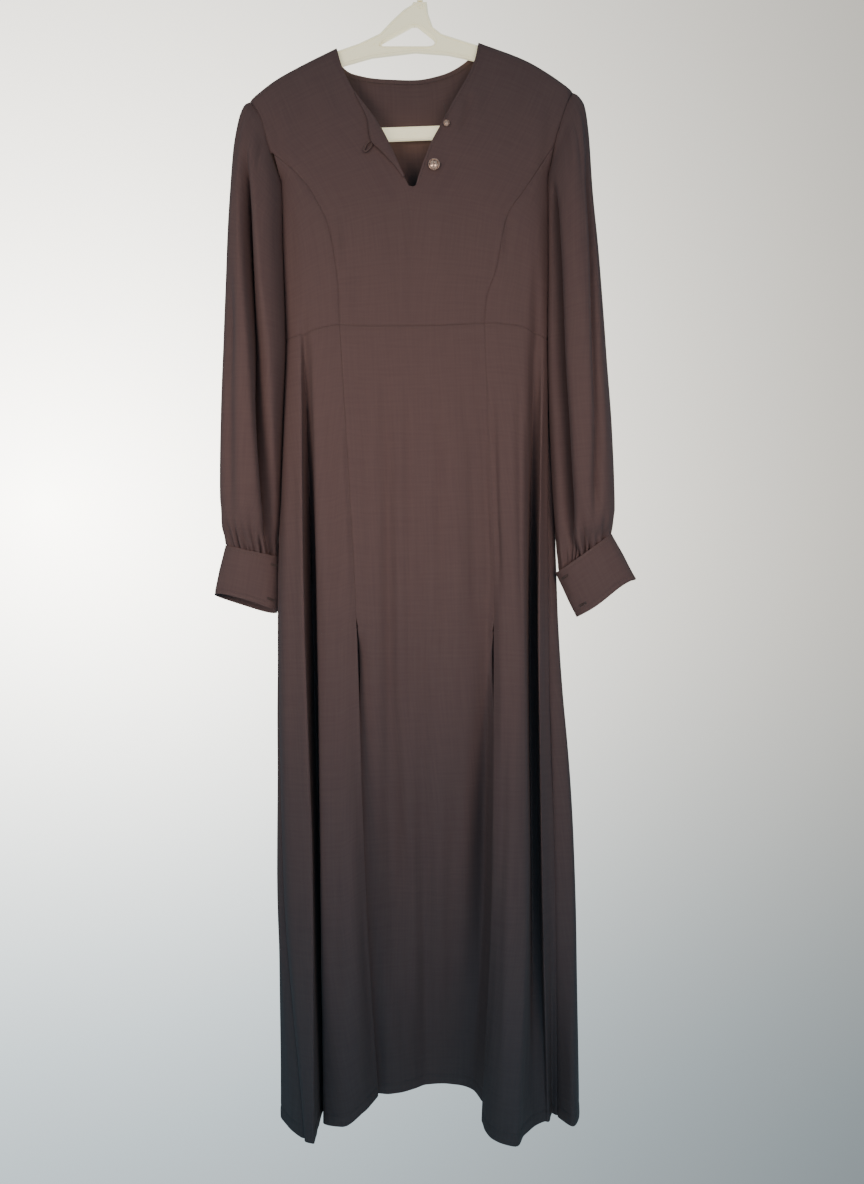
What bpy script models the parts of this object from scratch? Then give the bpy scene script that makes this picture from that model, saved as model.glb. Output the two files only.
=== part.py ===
"""A long-sleeved maxi dress (jilbab) hanging on a moulded clothes hanger.

Metres in the scene, millimetres in the tables.  +Z is up, -Y is the front of the dress
and +X is the viewer's right.  The origin is the top of the inside of the hanger's hook.
Left and right in every name are the viewer's.
"""
import math

import bmesh
import bpy

# Units and cloth
MM = 0.001
WALL = 1.2
SEAM_GAP = 0.4
ARMHOLE_GAP = 1.7
EMPIRE_GAP = 0.45
SHOULDER_GAP = 1.4

# Levels of the dress, down from the hook
EMPIRE_Z = -488.0
PLEAT_TOP = 0.375
KNEE = 0.68
HEM_SIDE_Z = -1467.0
HEM_CENTRE_Z = -1455.0

# Depth of the hanging bodice
SHOULDER_ROUND = 7.5
FRONT_GROWTH = 12.0
BACK_GROWTH = 11.0
GROWTH_LENGTH = 110.0
BUST_Z = -372.0
BUST_FULLNESS = 5.0
EDGE_ROUND = 36.0
TIP_ROUND = 9.0
ARMHOLE_HALF_DEPTH = 11.0
UNDERARM_Y = 0.0
UNDERARM_CLEAR = 1.3
WAIST_SIDE_Y = 6.0

# Hanger
HANGER_THICK = 8.0
HANGER_EDGE = 2.0
HOOK_INNER_RADIUS = 19.0
HOOK_BAND = 7.5
BAR_TALL = 16.0
BAR_THICK = 6.0

# Cloth colour in the part, dark cocoa, with the colours of the plastic and the button
CLOTH = (0.105, 0.062, 0.052)
CLOTH_INSIDE = (0.085, 0.052, 0.045)
IVORY = (0.72, 0.69, 0.55)
CHAMPAGNE = (0.50, 0.36, 0.30)

# Seam lines seen from the front: x and z down each line
SHOULDER_LEFT = ((-212, -202), (-180, -177), (-150, -160), (-104, -137))
SHOULDER_RIGHT = ((190, -190), (162, -170), (133, -153), (73, -130))
ARMHOLE_LEFT = ((-212, -202), (-197, -229), (-188, -262), (-173, -302))
ARMHOLE_RIGHT = ((190, -190), (181, -214), (169, -252), (160, -294))
PRINCESS_LEFT = ((-181, -272), (-146, -305), (-126, -335), (-112, -367), (-105, -403),
                 (-100, -447), (-99, -486))
PRINCESS_RIGHT = ((166, -262), (130, -318), (108, -352), (100, -388), (95, -415),
                  (82, -455), (79.5, -484))
SIDE_SEAM_LEFT = ((-173, -302), (-171, -400), (-168, -501))
SIDE_SEAM_RIGHT = ((160, -294), (160, -400), (160, -500))
NECK_FRONT_LEFT = ((-104, -137), (-98, -159), (-87, -185), (-49, -240), (-37, -263),
                   (-14, -314.5))
NECK_FRONT_RIGHT = ((73, -130), (69, -151), (56, -182), (44, -203), (26, -239),
                    (6, -279), (-5, -315.5))
NECK_BACK = ((-104, -137), (-98, -153), (-86, -162), (-41, -169), (-8, -170),
             (26, -164), (60, -146), (73, -130))
EMPIRE = ((-168, -501), (-145, -497), (-119, -489), (-99, -486), (-65, -487.5), (15, -487),
          (60, -485), (86, -484), (109, -485.5), (126, -488), (142, -494), (160, -500))
SLIT_X = -9.5

# Skirt folds, a row for each line down the cloth:
# name, then x at the empire seam, pleat top, knee and hem, and y at the last three
SIDE_FRONT_LEFT_FOLDS = (
    ("side seam", -168, -176.5, -170, -137, -6, -10, -58),
    ("side turn", -163, -167, -161, -134.5, -25, -32, -64),
    ("side ridge", -148, -140, -134, -130, -42, -50, -68),
    ("deep valley", -142.5, -136.5, -130, -123.5, -4, 4, 7),
    ("panel edge", -132, -119, -115, -116, -37, -42, -20),
    ("panel middle", -118, -100, -95, -93, -41, -45, -31),
    ("panel turn", -108, -87, -80, -69, -40, -31, -12),
    ("pleat fold", -99, -77, -68.5, -53, -38, -14, 22),
)
CENTRE_FOLDS = (
    ("left swell", -70, -56, -50, -41, -38, -6, 26),
    ("left trough", -40, -38, -34, -30, -34, 3, 28),
    ("middle swell", -14, -14, -12, -9, -40, -5, 39),
    ("middle trough", 5, 5, 6, 9, -35, 4, 51),
    ("right swell", 24, 24, 26, 28, -40, -2, 53),
    ("right plain", 50, 52, 50, 46, -38, 3, 51),
    ("right trough", 68, 76, 71, 64, -33, 7, 33),
)
SIDE_FRONT_RIGHT_FOLDS = (
    ("pleat fold", 79.6, 90.6, 88, 76.5, -38, -40, -15),
    ("panel turn", 92, 101, 96, 82, -41, -50, -46),
    ("panel middle", 107, 116, 113, 96, -42, -55, -66),
    ("panel ridge", 122, 129, 129, 113, -38, -48, -74),
    ("ridge end", 134, 135, 137, 125, -24, -30, -47),
    ("deep valley", 145, 139.5, 143, 143, -7, -13, -31),
    ("side ridge", 153, 149, 155, 158.5, -28, -30, -18),
    ("side hollow", 158.5, 158.5, 164, 165.5, -12, -9, 3),
    ("side seam", 160, 160.8, 167.5, 170, -8, -9, -5),
)
BACK_FOLDS = (
    ("side seam right", 160, 160.8, 167.5, 170, -8, -9, -5),
    ("front of side right", 161, 172, 189, 187, 1, -4, -30),
    ("side right", 160.5, 175, 194, 199, 15, 15, 10),
    ("corner right", 151, 158, 176, 186, 42, 56, 52),
    ("trough one", 124, 132, 146, 154, 36, 46, 62),
    ("swell one", 94, 106, 114, 120, 58, 80, 100),
    ("trough two", 66, 72, 78, 84, 35, 50, 76),
    ("swell two", 36, 40, 42, 45, 53, 76, 108),
    ("trough three", 6, 6, 4, 1, 38, 58, 86),
    ("swell three", -27, -30, -33, -38, 54, 75, 103),
    ("trough four", -58, -64, -68, -74, 36, 52, 74),
    ("swell four", -90, -98, -104, -110, 57, 78, 97),
    ("trough five", -119, -126, -134, -141, 40, 48, 58),
    ("corner left", -148, -155, -163, -166, 40, 47, 42),
    ("side left", -167.5, -171.5, -176, -173, 17, 14, -2),
    ("front of side left", -169, -177.8, -178, -157, 3, 0, -34),
    ("side seam left", -168, -176.5, -170, -137, -6, -10, -58),
)

# Pleat folds: how far the turned-in cloth runs behind its panel and how far off it hangs
# at the pleat top, the knee and the hem
RETURN_WIDE = 36.0
RETURN_TURN = 3.6
SIDE_RETURN_OFF = (4.6, 13.0, 22.0)
CENTRE_RETURN_OFF = (5.0, 6.0, 7.0)
UNDERLAY_OFF = 3.4
UNDERLAY_SEAM_OFF = 2.3

# Sleeves, a row for each section down the tube: name, outer x and z, inner x and z,
# half depth, centre y
SLEEVE_LEFT = (
    ("cap", -219, -207, -175.8, -307, 14, 0),
    ("cap puff", -228, -231, -175.6, -318, 21, 0),
    ("upper arm", -233, -264, -175.8, -336, 28, 1),
    ("arm", -237, -325, -175.5, -375, 35, 2),
    ("above elbow", -240.5, -392, -175.5, -422, 40, 3),
    ("elbow", -244.5, -499, -177, -508, 44, 4),
    ("forearm", -248.5, -600, -179, -603, 46, 5),
    ("full part", -250, -680, -180.5, -682, 45, 6),
    ("above gathers", -250, -722, -181, -732, 38, 9),
    ("gathers", -247, -748, -180.5, -762, 27, 11),
    ("cuff seam", -244.5, -759, -180, -774, 21.5, 12),
)
SLEEVE_RIGHT = (
    ("cap", 197, -195, 163.2, -299, 14, 0),
    ("cap puff", 205.5, -208, 163, -310, 21, 0),
    ("upper arm", 210, -236, 163, -328, 28, 1),
    ("arm", 215.5, -318, 163.5, -368, 35, 2),
    ("above elbow", 221.5, -380, 163.5, -414, 40, 3),
    ("elbow", 232.5, -524, 165, -530, 44, 2),
    ("forearm", 239, -610, 168, -616, 46, 0),
    ("full part", 241.5, -680, 171, -690, 45, -2),
    ("above gathers", 242, -718, 172.5, -742, 37, -4),
    ("gathers", 240.5, -734, 172.5, -770, 26, -5),
    ("cuff seam", 238, -744, 172, -788, 20.5, -6),
)

# Sleeve folds: name, turn round the tube at the top and the bottom (0 outer, 90 front,
# 180 inner, 270 back), start and end as parts of the length, depth, half width in turn
SLEEVE_FOLDS_LEFT = (
    ("front valley", 62, 132, 0.06, 1.0, 10.0, 26),
    ("outer front hollow", 30, 52, 0.35, 0.95, 4.0, 22),
    ("back valley", 300, 238, 0.10, 1.0, 9.0, 28),
    ("back hollow", 250, 282, 0.40, 0.95, 5.0, 24),
)
SLEEVE_FOLDS_RIGHT = (
    ("front valley", 140, 98, 0.04, 1.0, 11.0, 24),
    ("outer front hollow", 62, 44, 0.30, 0.95, 4.0, 20),
    ("back valley", 246, 290, 0.10, 1.0, 9.0, 28),
    ("back hollow", 305, 258, 0.40, 0.95, 4.5, 22),
)
SLEEVE_SIDES = 28
GATHERS = 14
GATHER_DEPTH = 2.2
GATHER_LENGTH = 46.0

# Cuffs: a row for the hem end of each band: outer x and z, inner x and z, half depth, y
CUFF_HEM_LEFT = ("hem", -259, -818, -175.5, -842, 19, 14)
CUFF_HEM_RIGHT = ("hem", 268, -797, 195, -846, 18, -6)
CUFF_WALL = 1.8
CUFF_OVERLAP = 6.2
CUFF_TURNS = (176, 150, 120, 90, 60, 35, 15, 0, -15, -35, -60, -90, -115, -140, -160, -178, -192)

# Lengths that each sleeve is built in, as its first and last rings, and the gap between them
SLEEVE_LENGTHS = (("upper", 0, 5), ("middle", 5, 7), ("lower", 7, 11))
LENGTH_GAP = 0.4

# Buttons: width over thickness, and where each lies from the front
NECK_BUTTON = (14.4, 3.2, 17.5, -289.0)
TOP_BUTTON = (8.0, 2.2, 33.0, -237.0)
CUFF_BUTTON = (8.0, 1.4)

# Rows and columns of the bodice patches, as parts of their sides
HALF_FRONT_ACROSS = (0.0, 0.05, 0.13, 0.24, 0.38, 0.54, 0.70, 0.85, 1.0)
FRONT_UP = (0.0, 0.11, 0.22, 0.34, 0.455, 0.56, 0.66, 0.76, 0.84, 0.905, 0.95, 0.98, 0.993, 1.0)
SLIT_SHARE = 0.455
JOIN_SHARE = 0.76
SIDE_ACROSS = (0.0, 0.04, 0.12, 0.26, 0.44, 0.64, 0.82, 1.0)
SIDE_UP = tuple(part / 0.76 for part in FRONT_UP[:8])
BACK_ACROSS = (0.0, 0.02, 0.06, 0.12, 0.2, 0.28, 0.293, 0.315, 0.36, 0.43, 0.5, 0.57, 0.64, 0.685,
               0.707, 0.72, 0.8, 0.88, 0.94, 0.98, 1.0)
BACK_UP = (0.0, 0.16, 0.33, 0.5, 0.645, 0.75, 0.84, 0.91, 0.955, 0.98, 0.993, 1.0)
ARMPIT_SHARE = 0.645
SKIRT_ROWS = (0.0, 0.025, 0.07, 0.14, 0.22, 0.30, 0.375, 0.386, 0.42, 0.48, 0.56, 0.66, 0.76,
              0.88, 1.0)
LEVELS = (0.0, PLEAT_TOP, KNEE, 1.0)
PLEAT_OPEN = 0.386


def clear_scene():
    """Remove every object, mesh and curve that the file opened with."""
    for item in list(bpy.data.objects):
        bpy.data.objects.remove(item, do_unlink=True)
    for mesh in list(bpy.data.meshes):
        bpy.data.meshes.remove(mesh)


def make_collection(name):
    """Return a new collection linked to the scene."""
    group = bpy.data.collections.new(name)
    bpy.context.scene.collection.children.link(group)
    return group


def make_material(name, colour, roughness, metallic=0.0):
    """Return a Principled material with a plain colour."""
    material = bpy.data.materials.new(name)
    material.use_nodes = True
    shader = material.node_tree.nodes["Principled BSDF"]
    shader.inputs["Base Color"].default_value = (*colour, 1.0)
    shader.inputs["Roughness"].default_value = roughness
    shader.inputs["Metallic"].default_value = metallic
    material.diffuse_color = (*colour, 1.0)
    return material


def clamp(value, low=0.0, high=1.0):
    """Keep a value between two limits."""
    return max(low, min(high, value))


def smoothstep(start, end, value):
    """Rise smoothly from 0 at start to 1 at end."""
    part = clamp((value - start) / (end - start))
    return part * part * (3.0 - 2.0 * part)


def slopes_of(knots, values):
    """Slopes of a curve through the knots that never swings past a value."""
    steps = [b - a for a, b in zip(knots, knots[1:])]
    rises = [(b - a) / h for a, b, h in zip(values, values[1:], steps)]
    slopes = [rises[0]]
    for index in range(1, len(knots) - 1):
        before = rises[index - 1]
        after = rises[index]
        if before * after <= 0.0:
            slopes.append(0.0)
        else:
            first = 2.0 * steps[index] + steps[index - 1]
            second = steps[index] + 2.0 * steps[index - 1]
            slopes.append((first + second) / (first / before + second / after))
    slopes.append(rises[-1])
    return slopes


def smooth_curve(knots, values):
    """Return a function that runs smoothly through the values at the knots."""
    slopes = slopes_of(knots, values)

    def read(at):
        """Height of the curve at one place."""
        index = 0
        while index < len(knots) - 2 and at > knots[index + 1]:
            index += 1
        step = knots[index + 1] - knots[index]
        t = clamp((at - knots[index]) / step)
        a = (1 + 2 * t) * (1 - t) ** 2 * values[index]
        b = t * (1 - t) ** 2 * step * slopes[index]
        c = t * t * (3 - 2 * t) * values[index + 1]
        d = t * t * (t - 1) * step * slopes[index + 1]
        return a + b + c + d

    return read


def lengths_along(points):
    """Running length at each point of a line, as parts of the whole."""
    total = [0.0]
    for a, b in zip(points, points[1:]):
        total.append(total[-1] + math.dist(a, b))
    return [value / total[-1] for value in total]


def smooth_line(points):
    """Return a function from 0..1 to a point on a smooth line through the points."""
    knots = lengths_along(points)
    axes = [smooth_curve(knots, values) for values in zip(*points)]

    def read(at):
        """Point at one part of the length."""
        return tuple(axis(at) for axis in axes)

    return read


def joined(first, second, share):
    """Two lines run one after the other; share is where the second one starts."""
    def read(at):
        """Point on the joined line."""
        if at <= share:
            return first(at / share)
        return second((at - share) / (1.0 - share))

    return read


def reversed_line(line):
    """The same line, run the other way."""
    return lambda at: line(1.0 - at)


def part_of(line, start, end):
    """The stretch of a line between two parts of its length."""
    return lambda at: line(start + (end - start) * at)


def read_at(points, axis, value):
    """Smooth height or side of a line, read by its other coordinate."""
    pairs = sorted((point[axis], point[1 - axis]) for point in points)
    return smooth_curve([p[0] for p in pairs], [p[1] for p in pairs])(value)


# Edges of the bodice as heights and sides
def shoulder_height(x):
    """Height of the shoulder line, carried straight across the neck."""
    if x < SHOULDER_LEFT[-1][0]:
        return read_at(SHOULDER_LEFT, 0, max(x, SHOULDER_LEFT[0][0]))
    if x > SHOULDER_RIGHT[-1][0]:
        return read_at(SHOULDER_RIGHT, 0, min(x, SHOULDER_RIGHT[0][0]))
    left = SHOULDER_LEFT[-1]
    right = SHOULDER_RIGHT[-1]
    part = (x - left[0]) / (right[0] - left[0])
    return left[1] + part * (right[1] - left[1])


def edge_of(armhole, seam, z):
    """Side of the body at a height: the armhole above, the side seam below."""
    if z > seam[0][1]:
        return read_at(armhole, 1, min(z, armhole[0][1]))
    return read_at(seam, 1, max(z, seam[-1][1]))


def edge_depth(armhole, seam, z, side):
    """Depth of that edge; side is -1 for the front of the dress and +1 for the back."""
    top = armhole[0][1]
    bottom = seam[0][1]
    if z < bottom:
        part = clamp((bottom - z) / (bottom - seam[-1][1]))
        return UNDERARM_Y + part * (WAIST_SIDE_Y - UNDERARM_Y)
    part = clamp((top - z) / (top - bottom))
    return part * UNDERARM_Y + side * ARMHOLE_HALF_DEPTH * math.sin(math.pi * part) ** 0.75


def quarter_round(part):
    """Quarter of a circle: 0 at 0, level at 1."""
    part = clamp(part)
    return math.sqrt(max(0.0, 1.0 - (1.0 - part) ** 2))


def body_depth(x, z, side):
    """Depth of the hanging bodice's cloth, front (side -1) or back (side +1)."""
    below = max(0.0, shoulder_height(x) - z)
    growth = FRONT_GROWTH if side < 0 else BACK_GROWTH
    inner = SHOULDER_ROUND * quarter_round(below / SHOULDER_ROUND)
    inner += growth * (1.0 - math.exp(-below / GROWTH_LENGTH))
    if side < 0:
        swell = math.exp(-((z - BUST_Z) / 70.0) ** 2)
        inner += BUST_FULLNESS * swell * (0.6 + 0.4 * math.exp(-((abs(x + 10) - 75) / 45) ** 2))
        trough = smoothstep(-380, -480, z) * math.exp(-((x - 144.5) / 6.5) ** 2)
        inner -= 7.0 * trough
        trough = smoothstep(-455, -500, z) * math.exp(-((x + 143) / 5.5) ** 2)
        inner -= 5.0 * trough
    else:
        inner += 3.0 * smoothstep(-330, -490, z)
    depth = side * inner
    for armhole, seam, sign in ((ARMHOLE_LEFT, SIDE_SEAM_LEFT, 1.0),
                                (ARMHOLE_RIGHT, SIDE_SEAM_RIGHT, -1.0)):
        inside = (x - edge_of(armhole, seam, z)) * sign
        down = clamp((armhole[0][1] - z) / (armhole[0][1] - seam[0][1]))
        reach = TIP_ROUND + (EDGE_ROUND - TIP_ROUND) * down
        if inside < reach:
            rim = edge_depth(armhole, seam, z, side)
            depth = rim + (depth - rim) * quarter_round(inside / reach)
    return depth


def empire_height(x):
    """Height of the empire seam."""
    return read_at(EMPIRE, 0, clamp(x, EMPIRE[0][0], EMPIRE[-1][0]))


# Meshes
def grid_faces(columns, rows):
    """Quads of a grid whose points run column by column within each row."""
    faces = []
    for row in range(rows - 1):
        for column in range(columns - 1):
            a = row * columns + column
            faces.append((a, a + 1, a + columns + 1, a + columns))
    return faces


def cloth_object(name, points, faces, material, group, wall=WALL, flip=False):
    """A thin wall of cloth through the points, closed by Solidify."""
    mesh = bpy.data.meshes.new(name)
    mesh.from_pydata([tuple(c * MM for c in point) for point in points], [], faces)
    work = bmesh.new()
    work.from_mesh(mesh)
    bmesh.ops.remove_doubles(work, verts=work.verts, dist=0.00002)
    loose = [vertex for vertex in work.verts if not vertex.link_faces]
    bmesh.ops.delete(work, geom=loose, context="VERTS")
    bmesh.ops.recalc_face_normals(work, faces=work.faces)
    if flip:
        bmesh.ops.reverse_faces(work, faces=work.faces)
    work.to_mesh(mesh)
    work.free()
    mesh.shade_smooth()
    item = bpy.data.objects.new(name, mesh)
    item.data.materials.append(material)
    group.objects.link(item)
    shell = item.modifiers.new("cloth wall", "SOLIDIFY")
    shell.thickness = wall * MM
    shell.offset = 0.0
    shell.use_even_offset = False
    return item


def coons(bottom, right, top, left, across, up):
    """Points of a patch inside four lines; across and up are parts of its sides."""
    corner = (bottom(0.0), bottom(1.0), top(0.0), top(1.0))
    points = []
    for v in up:
        for u in across:
            low = bottom(u)
            high = top(u)
            west = left(v)
            east = right(v)
            point = []
            for k in range(2):
                ruled = (1 - v) * low[k] + v * high[k] + (1 - u) * west[k] + u * east[k]
                mixed = (1 - u) * (1 - v) * corner[0][k] + u * (1 - v) * corner[1][k]
                mixed += (1 - u) * v * corner[2][k] + u * v * corner[3][k]
                point.append(ruled - mixed)
            points.append(tuple(point))
    return points


def join_share(line_points, at_point):
    """Part of a line's length nearest to a point."""
    line = smooth_line(line_points)
    best = min(range(401), key=lambda i: math.dist(line(i / 400), at_point))
    return best / 400


def depth_points(points, side):
    """Lift flat points to the cloth's depth."""
    return [(x, body_depth(x, z, side), z) for x, z in points]


def flat_line(points):
    """A smooth line through flat points, read from its last point back to its first."""
    return reversed_line(smooth_line(points))


def pull_in(points, columns, rows, low=0.0, high=0.0, west=0.0, east=0.0):
    """Draw the sides of a grid of points in a little, which leaves the seam gaps."""
    moved = list(points)

    def pull(at, towards, distance):
        """Move one point along the way to its neighbour."""
        a = moved[at]
        b = moved[towards]
        run = math.dist(a, b)
        moved[at] = tuple(p + (q - p) * distance / run for p, q in zip(a, b))

    for row in range(rows):
        if west:
            pull(row * columns, row * columns + 1, west)
        if east:
            pull(row * columns + columns - 1, row * columns + columns - 2, east)
    for column in range(columns):
        if low:
            pull(column, column + columns, low)
        if high:
            last = (rows - 1) * columns
            pull(last + column, last - columns + column, high)
    return moved


def empire_line(start, end):
    """The empire seam between two sides."""
    return lambda at: (start + (end - start) * at, empire_height(start + (end - start) * at))


def build_front_centre(material, group):
    """The middle front of the bodice, with the neck and its slit."""
    points = []
    faces = []
    columns = len(HALF_FRONT_ACROSS)
    rows = len(FRONT_UP)
    slit = (SLIT_X, -316.0)
    halves = (
        (PRINCESS_LEFT, ARMHOLE_LEFT, SHOULDER_LEFT, NECK_FRONT_LEFT, 1.0),
        (PRINCESS_RIGHT, ARMHOLE_RIGHT, SHOULDER_RIGHT, NECK_FRONT_RIGHT, -1.0),
    )
    for princess, armhole, shoulder, neck, sign in halves:
        share = join_share(armhole, princess[0])
        outer = joined(flat_line(princess), reversed_line(part_of(smooth_line(armhole), 0.0, share)),
                       JOIN_SHARE)
        centre = smooth_line(((SLIT_X, empire_height(SLIT_X)), slit))
        edge = flat_line(neck[:-1] + (neck[-1], slit))
        inner = joined(centre, edge, SLIT_SHARE)
        top = smooth_line(shoulder)
        bottom = empire_line(princess[-1][0], SLIT_X)
        flat = coons(bottom, inner, top, outer, HALF_FRONT_ACROSS, FRONT_UP)
        patch = depth_points(flat, -1.0)
        patch = pull_in(patch, columns, rows, EMPIRE_GAP, SHOULDER_GAP / 2, SEAM_GAP / 2, 0.0)
        base = len(points)
        points += patch
        turned = grid_faces(columns, rows)
        if sign < 0:
            turned = [tuple(reversed(face)) for face in turned]
        faces += [tuple(base + corner for corner in face) for face in turned]
    widen_armhole(points, columns, rows)
    return cloth_object("bodice_front_centre", points, faces, material, group)


def widen_armhole(points, columns, rows):
    """Draw the armhole edge of both halves further in, for the sleeve's turned seam."""
    for half in range(2):
        for row in range(rows):
            if FRONT_UP[row] > JOIN_SHARE + 0.01:
                at = half * columns * rows + row * columns
                a = points[at]
                b = points[at + 1]
                run = math.dist(a, b)
                move = (ARMHOLE_GAP - SEAM_GAP) / 2
                points[at] = tuple(p + (q - p) * move / run for p, q in zip(a, b))


def build_side_front(name, princess, armhole, seam, material, group):
    """A side front of the bodice, between the princess seam and the side seam."""
    share = join_share(armhole, princess[0])
    bottom = empire_line(seam[-1][0], princess[-1][0])
    inner = flat_line(princess)
    outer = flat_line(seam)
    top = reversed_line(part_of(smooth_line(armhole), share, 1.0))
    flat = coons(bottom, inner, top, outer, SIDE_ACROSS, SIDE_UP)
    patch = depth_points(flat, -1.0)
    columns = len(SIDE_ACROSS)
    rows = len(SIDE_UP)
    patch = pull_in(patch, columns, rows, EMPIRE_GAP, ARMHOLE_GAP / 2, SEAM_GAP, SEAM_GAP / 2)
    return cloth_object(name, patch, grid_faces(columns, rows), material, group)


def build_back(material, group):
    """The back of the bodice, one piece from side seam to side seam."""
    left = joined(flat_line(SIDE_SEAM_LEFT), flat_line(ARMHOLE_LEFT), ARMPIT_SHARE)
    right = joined(flat_line(SIDE_SEAM_RIGHT), flat_line(ARMHOLE_RIGHT), ARMPIT_SHARE)
    shoulder_left = smooth_line(SHOULDER_LEFT)
    shoulder_right = flat_line(SHOULDER_RIGHT)
    neck = smooth_line(NECK_BACK)

    def top(at):
        """Shoulder, neck and shoulder, one after the other."""
        if at < 0.28:
            return shoulder_left(at / 0.28)
        if at < 0.72:
            return neck((at - 0.28) / 0.44)
        return shoulder_right((at - 0.72) / 0.28)

    bottom = empire_line(SIDE_SEAM_LEFT[-1][0], SIDE_SEAM_RIGHT[-1][0])
    flat = coons(bottom, right, top, left, BACK_ACROSS, BACK_UP)
    patch = depth_points(flat, 1.0)
    columns = len(BACK_ACROSS)
    rows = len(BACK_UP)
    patch = pull_in(patch, columns, rows, EMPIRE_GAP, SHOULDER_GAP / 2, ARMHOLE_GAP / 2,
                    ARMHOLE_GAP / 2)
    return cloth_object("bodice_back", patch, grid_faces(columns, rows), material, group)


# Skirt
def hem_height(x, centre):
    """Height of the hem, a little higher at the centre front."""
    if centre:
        return HEM_CENTRE_Z
    rise = smoothstep(-95.0, -53.0, x) * (1.0 - smoothstep(40.0, 60.0, x))
    return HEM_SIDE_Z + (HEM_CENTRE_Z - HEM_SIDE_Z) * rise


class SkirtPanel:
    """A panel of the skirt that hangs from the empire seam through its fold lines."""

    def __init__(self, table, side, centre=False):
        """Read the table; side is -1 for the front and +1 for the back."""
        self.side = side
        self.centre = centre
        self.rows = [self.fold(row) for row in table]
        self.knots = self.spacing()
        self.rings = {}

    def fold(self, row):
        """One fold line: curves of x and y down its length, and its end heights."""
        top_x = row[1]
        top_z = empire_height(top_x)
        top_y = body_depth(top_x, top_z, self.side)
        low = HEM_CENTRE_Z if self.centre else HEM_SIDE_Z
        if self.side < 0:
            low = hem_height(row[4], self.centre)
        return (smooth_curve(LEVELS, row[1:5]), smooth_curve(LEVELS, (top_y,) + row[5:8]), top_z, low)

    def line_points(self, part):
        """Where every fold line is at one part of the length."""
        points = []
        for sideways, depth, top, low in self.rows:
            points.append((sideways(part), depth(part), top + (low - top) * part))
        return points

    def spacing(self):
        """Places of the fold lines along the panel, from 0 to 1."""
        middle = lengths_along(self.line_points(PLEAT_TOP))
        hem = lengths_along(self.line_points(1.0))
        return [(a + b) / 2 for a, b in zip(middle, hem)]

    def ring(self, part):
        """The panel's line across at one part of the length."""
        if part not in self.rings:
            axes = zip(*self.line_points(part))
            self.rings[part] = [smooth_curve(self.knots, values) for values in axes]
        return self.rings[part]

    def at(self, across, part):
        """Point of the panel; at the top it meets the bodice exactly."""
        x, y, z = (axis(across) for axis in self.ring(part))
        fade = math.exp(-part / 0.07)
        if fade > 0.001:
            top_x, top_y, top_z = (axis(across) for axis in self.ring(0.0))
            y += (body_depth(top_x, empire_height(top_x), self.side) - top_y) * fade
            z += (empire_height(top_x) - top_z) * fade
        return (x, y, z)

    def frame_at(self, across, part):
        """Point, direction along the panel and direction to its back."""
        a = self.at(max(0.0, across - 0.004), part)
        b = self.at(min(1.0, across + 0.004), part)
        run = math.hypot(b[0] - a[0], b[1] - a[1])
        along = ((b[0] - a[0]) / run, (b[1] - a[1]) / run)
        return self.at(across, part), along, (-along[1], along[0])

    def from_fold(self, part, from_end, distance):
        """Place across, some way along the cloth from the fold at one end."""
        gone = 0.0
        place = 1.0 if from_end else 0.0
        step = -0.004 if from_end else 0.004
        before = self.at(place, part)
        while gone < distance:
            place += step
            here = self.at(place, part)
            gone += math.hypot(here[0] - before[0], here[1] - before[1])
            before = here
        return place

    def columns(self, pieces):
        """Places across, each stretch between fold lines cut into some pieces."""
        places = []
        for a, b in zip(self.knots, self.knots[1:]):
            places += [a + (b - a) * k / pieces for k in range(pieces)]
        return places + [1.0]


class CentrePanel(SkirtPanel):
    """The middle front of the skirt, whose edges hang behind the side panels' folds."""

    def __init__(self, table, left, right):
        """left and right are the side panels that lap over this one."""
        self.left = left
        self.right = right
        super().__init__(table, -1.0, True)

    def edge(self, panel, across, part, sign, back_at_hem):
        """An edge of the middle panel, set off from the side panel's fold."""
        x, y, z = panel.at(across, part)
        opened = smoothstep(PLEAT_TOP, PLEAT_TOP + 0.011, part)
        tucked = smoothstep(PLEAT_TOP + 0.05, PLEAT_TOP + 0.2, part)
        back = 7.8 * smoothstep(PLEAT_TOP + 0.008, PLEAT_TOP + 0.045, part)
        back += (back_at_hem - 8.0) * smoothstep(PLEAT_TOP + 0.1, 1.0, part)
        beside = SEAM_GAP * 0.5 + 2.1 * opened - 5.5 * tucked
        top = empire_height(x)
        low = HEM_CENTRE_Z
        if part > PLEAT_TOP:
            z = z + (top + (low - top) * part - z) * smoothstep(PLEAT_TOP, 0.6, part)
        return (x + sign * beside, y + back, z)

    def line_points(self, part):
        """The edges and the fold lines between them."""
        points = super().line_points(part)
        first = self.edge(self.left, 1.0, part, 1.0, 8.0)
        last = self.edge(self.right, 0.0, part, -1.0, 19.0)
        return [first] + points + [last]


def off_point(panel, across, part, beside, behind):
    """Point set off from a panel along it and to its back."""
    point, along, back = panel.frame_at(across, part)
    return (point[0] + along[0] * beside + back[0] * behind,
            point[1] + along[1] * beside + back[1] * behind, point[2])


def return_places(panel, part, from_end, offsets):
    """Places and distances off the panel of its turned-in cloth, from fold to seam."""
    full = smooth_curve(LEVELS[1:], offsets)(part)
    places = []
    for share in (0.33, 0.67, 1.0):
        place = panel.from_fold(part, from_end, RETURN_WIDE * share)
        off = RETURN_TURN + (full - RETURN_TURN) * smoothstep(0.0, 1.0, share)
        places.append((place, off))
    return places


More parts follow.
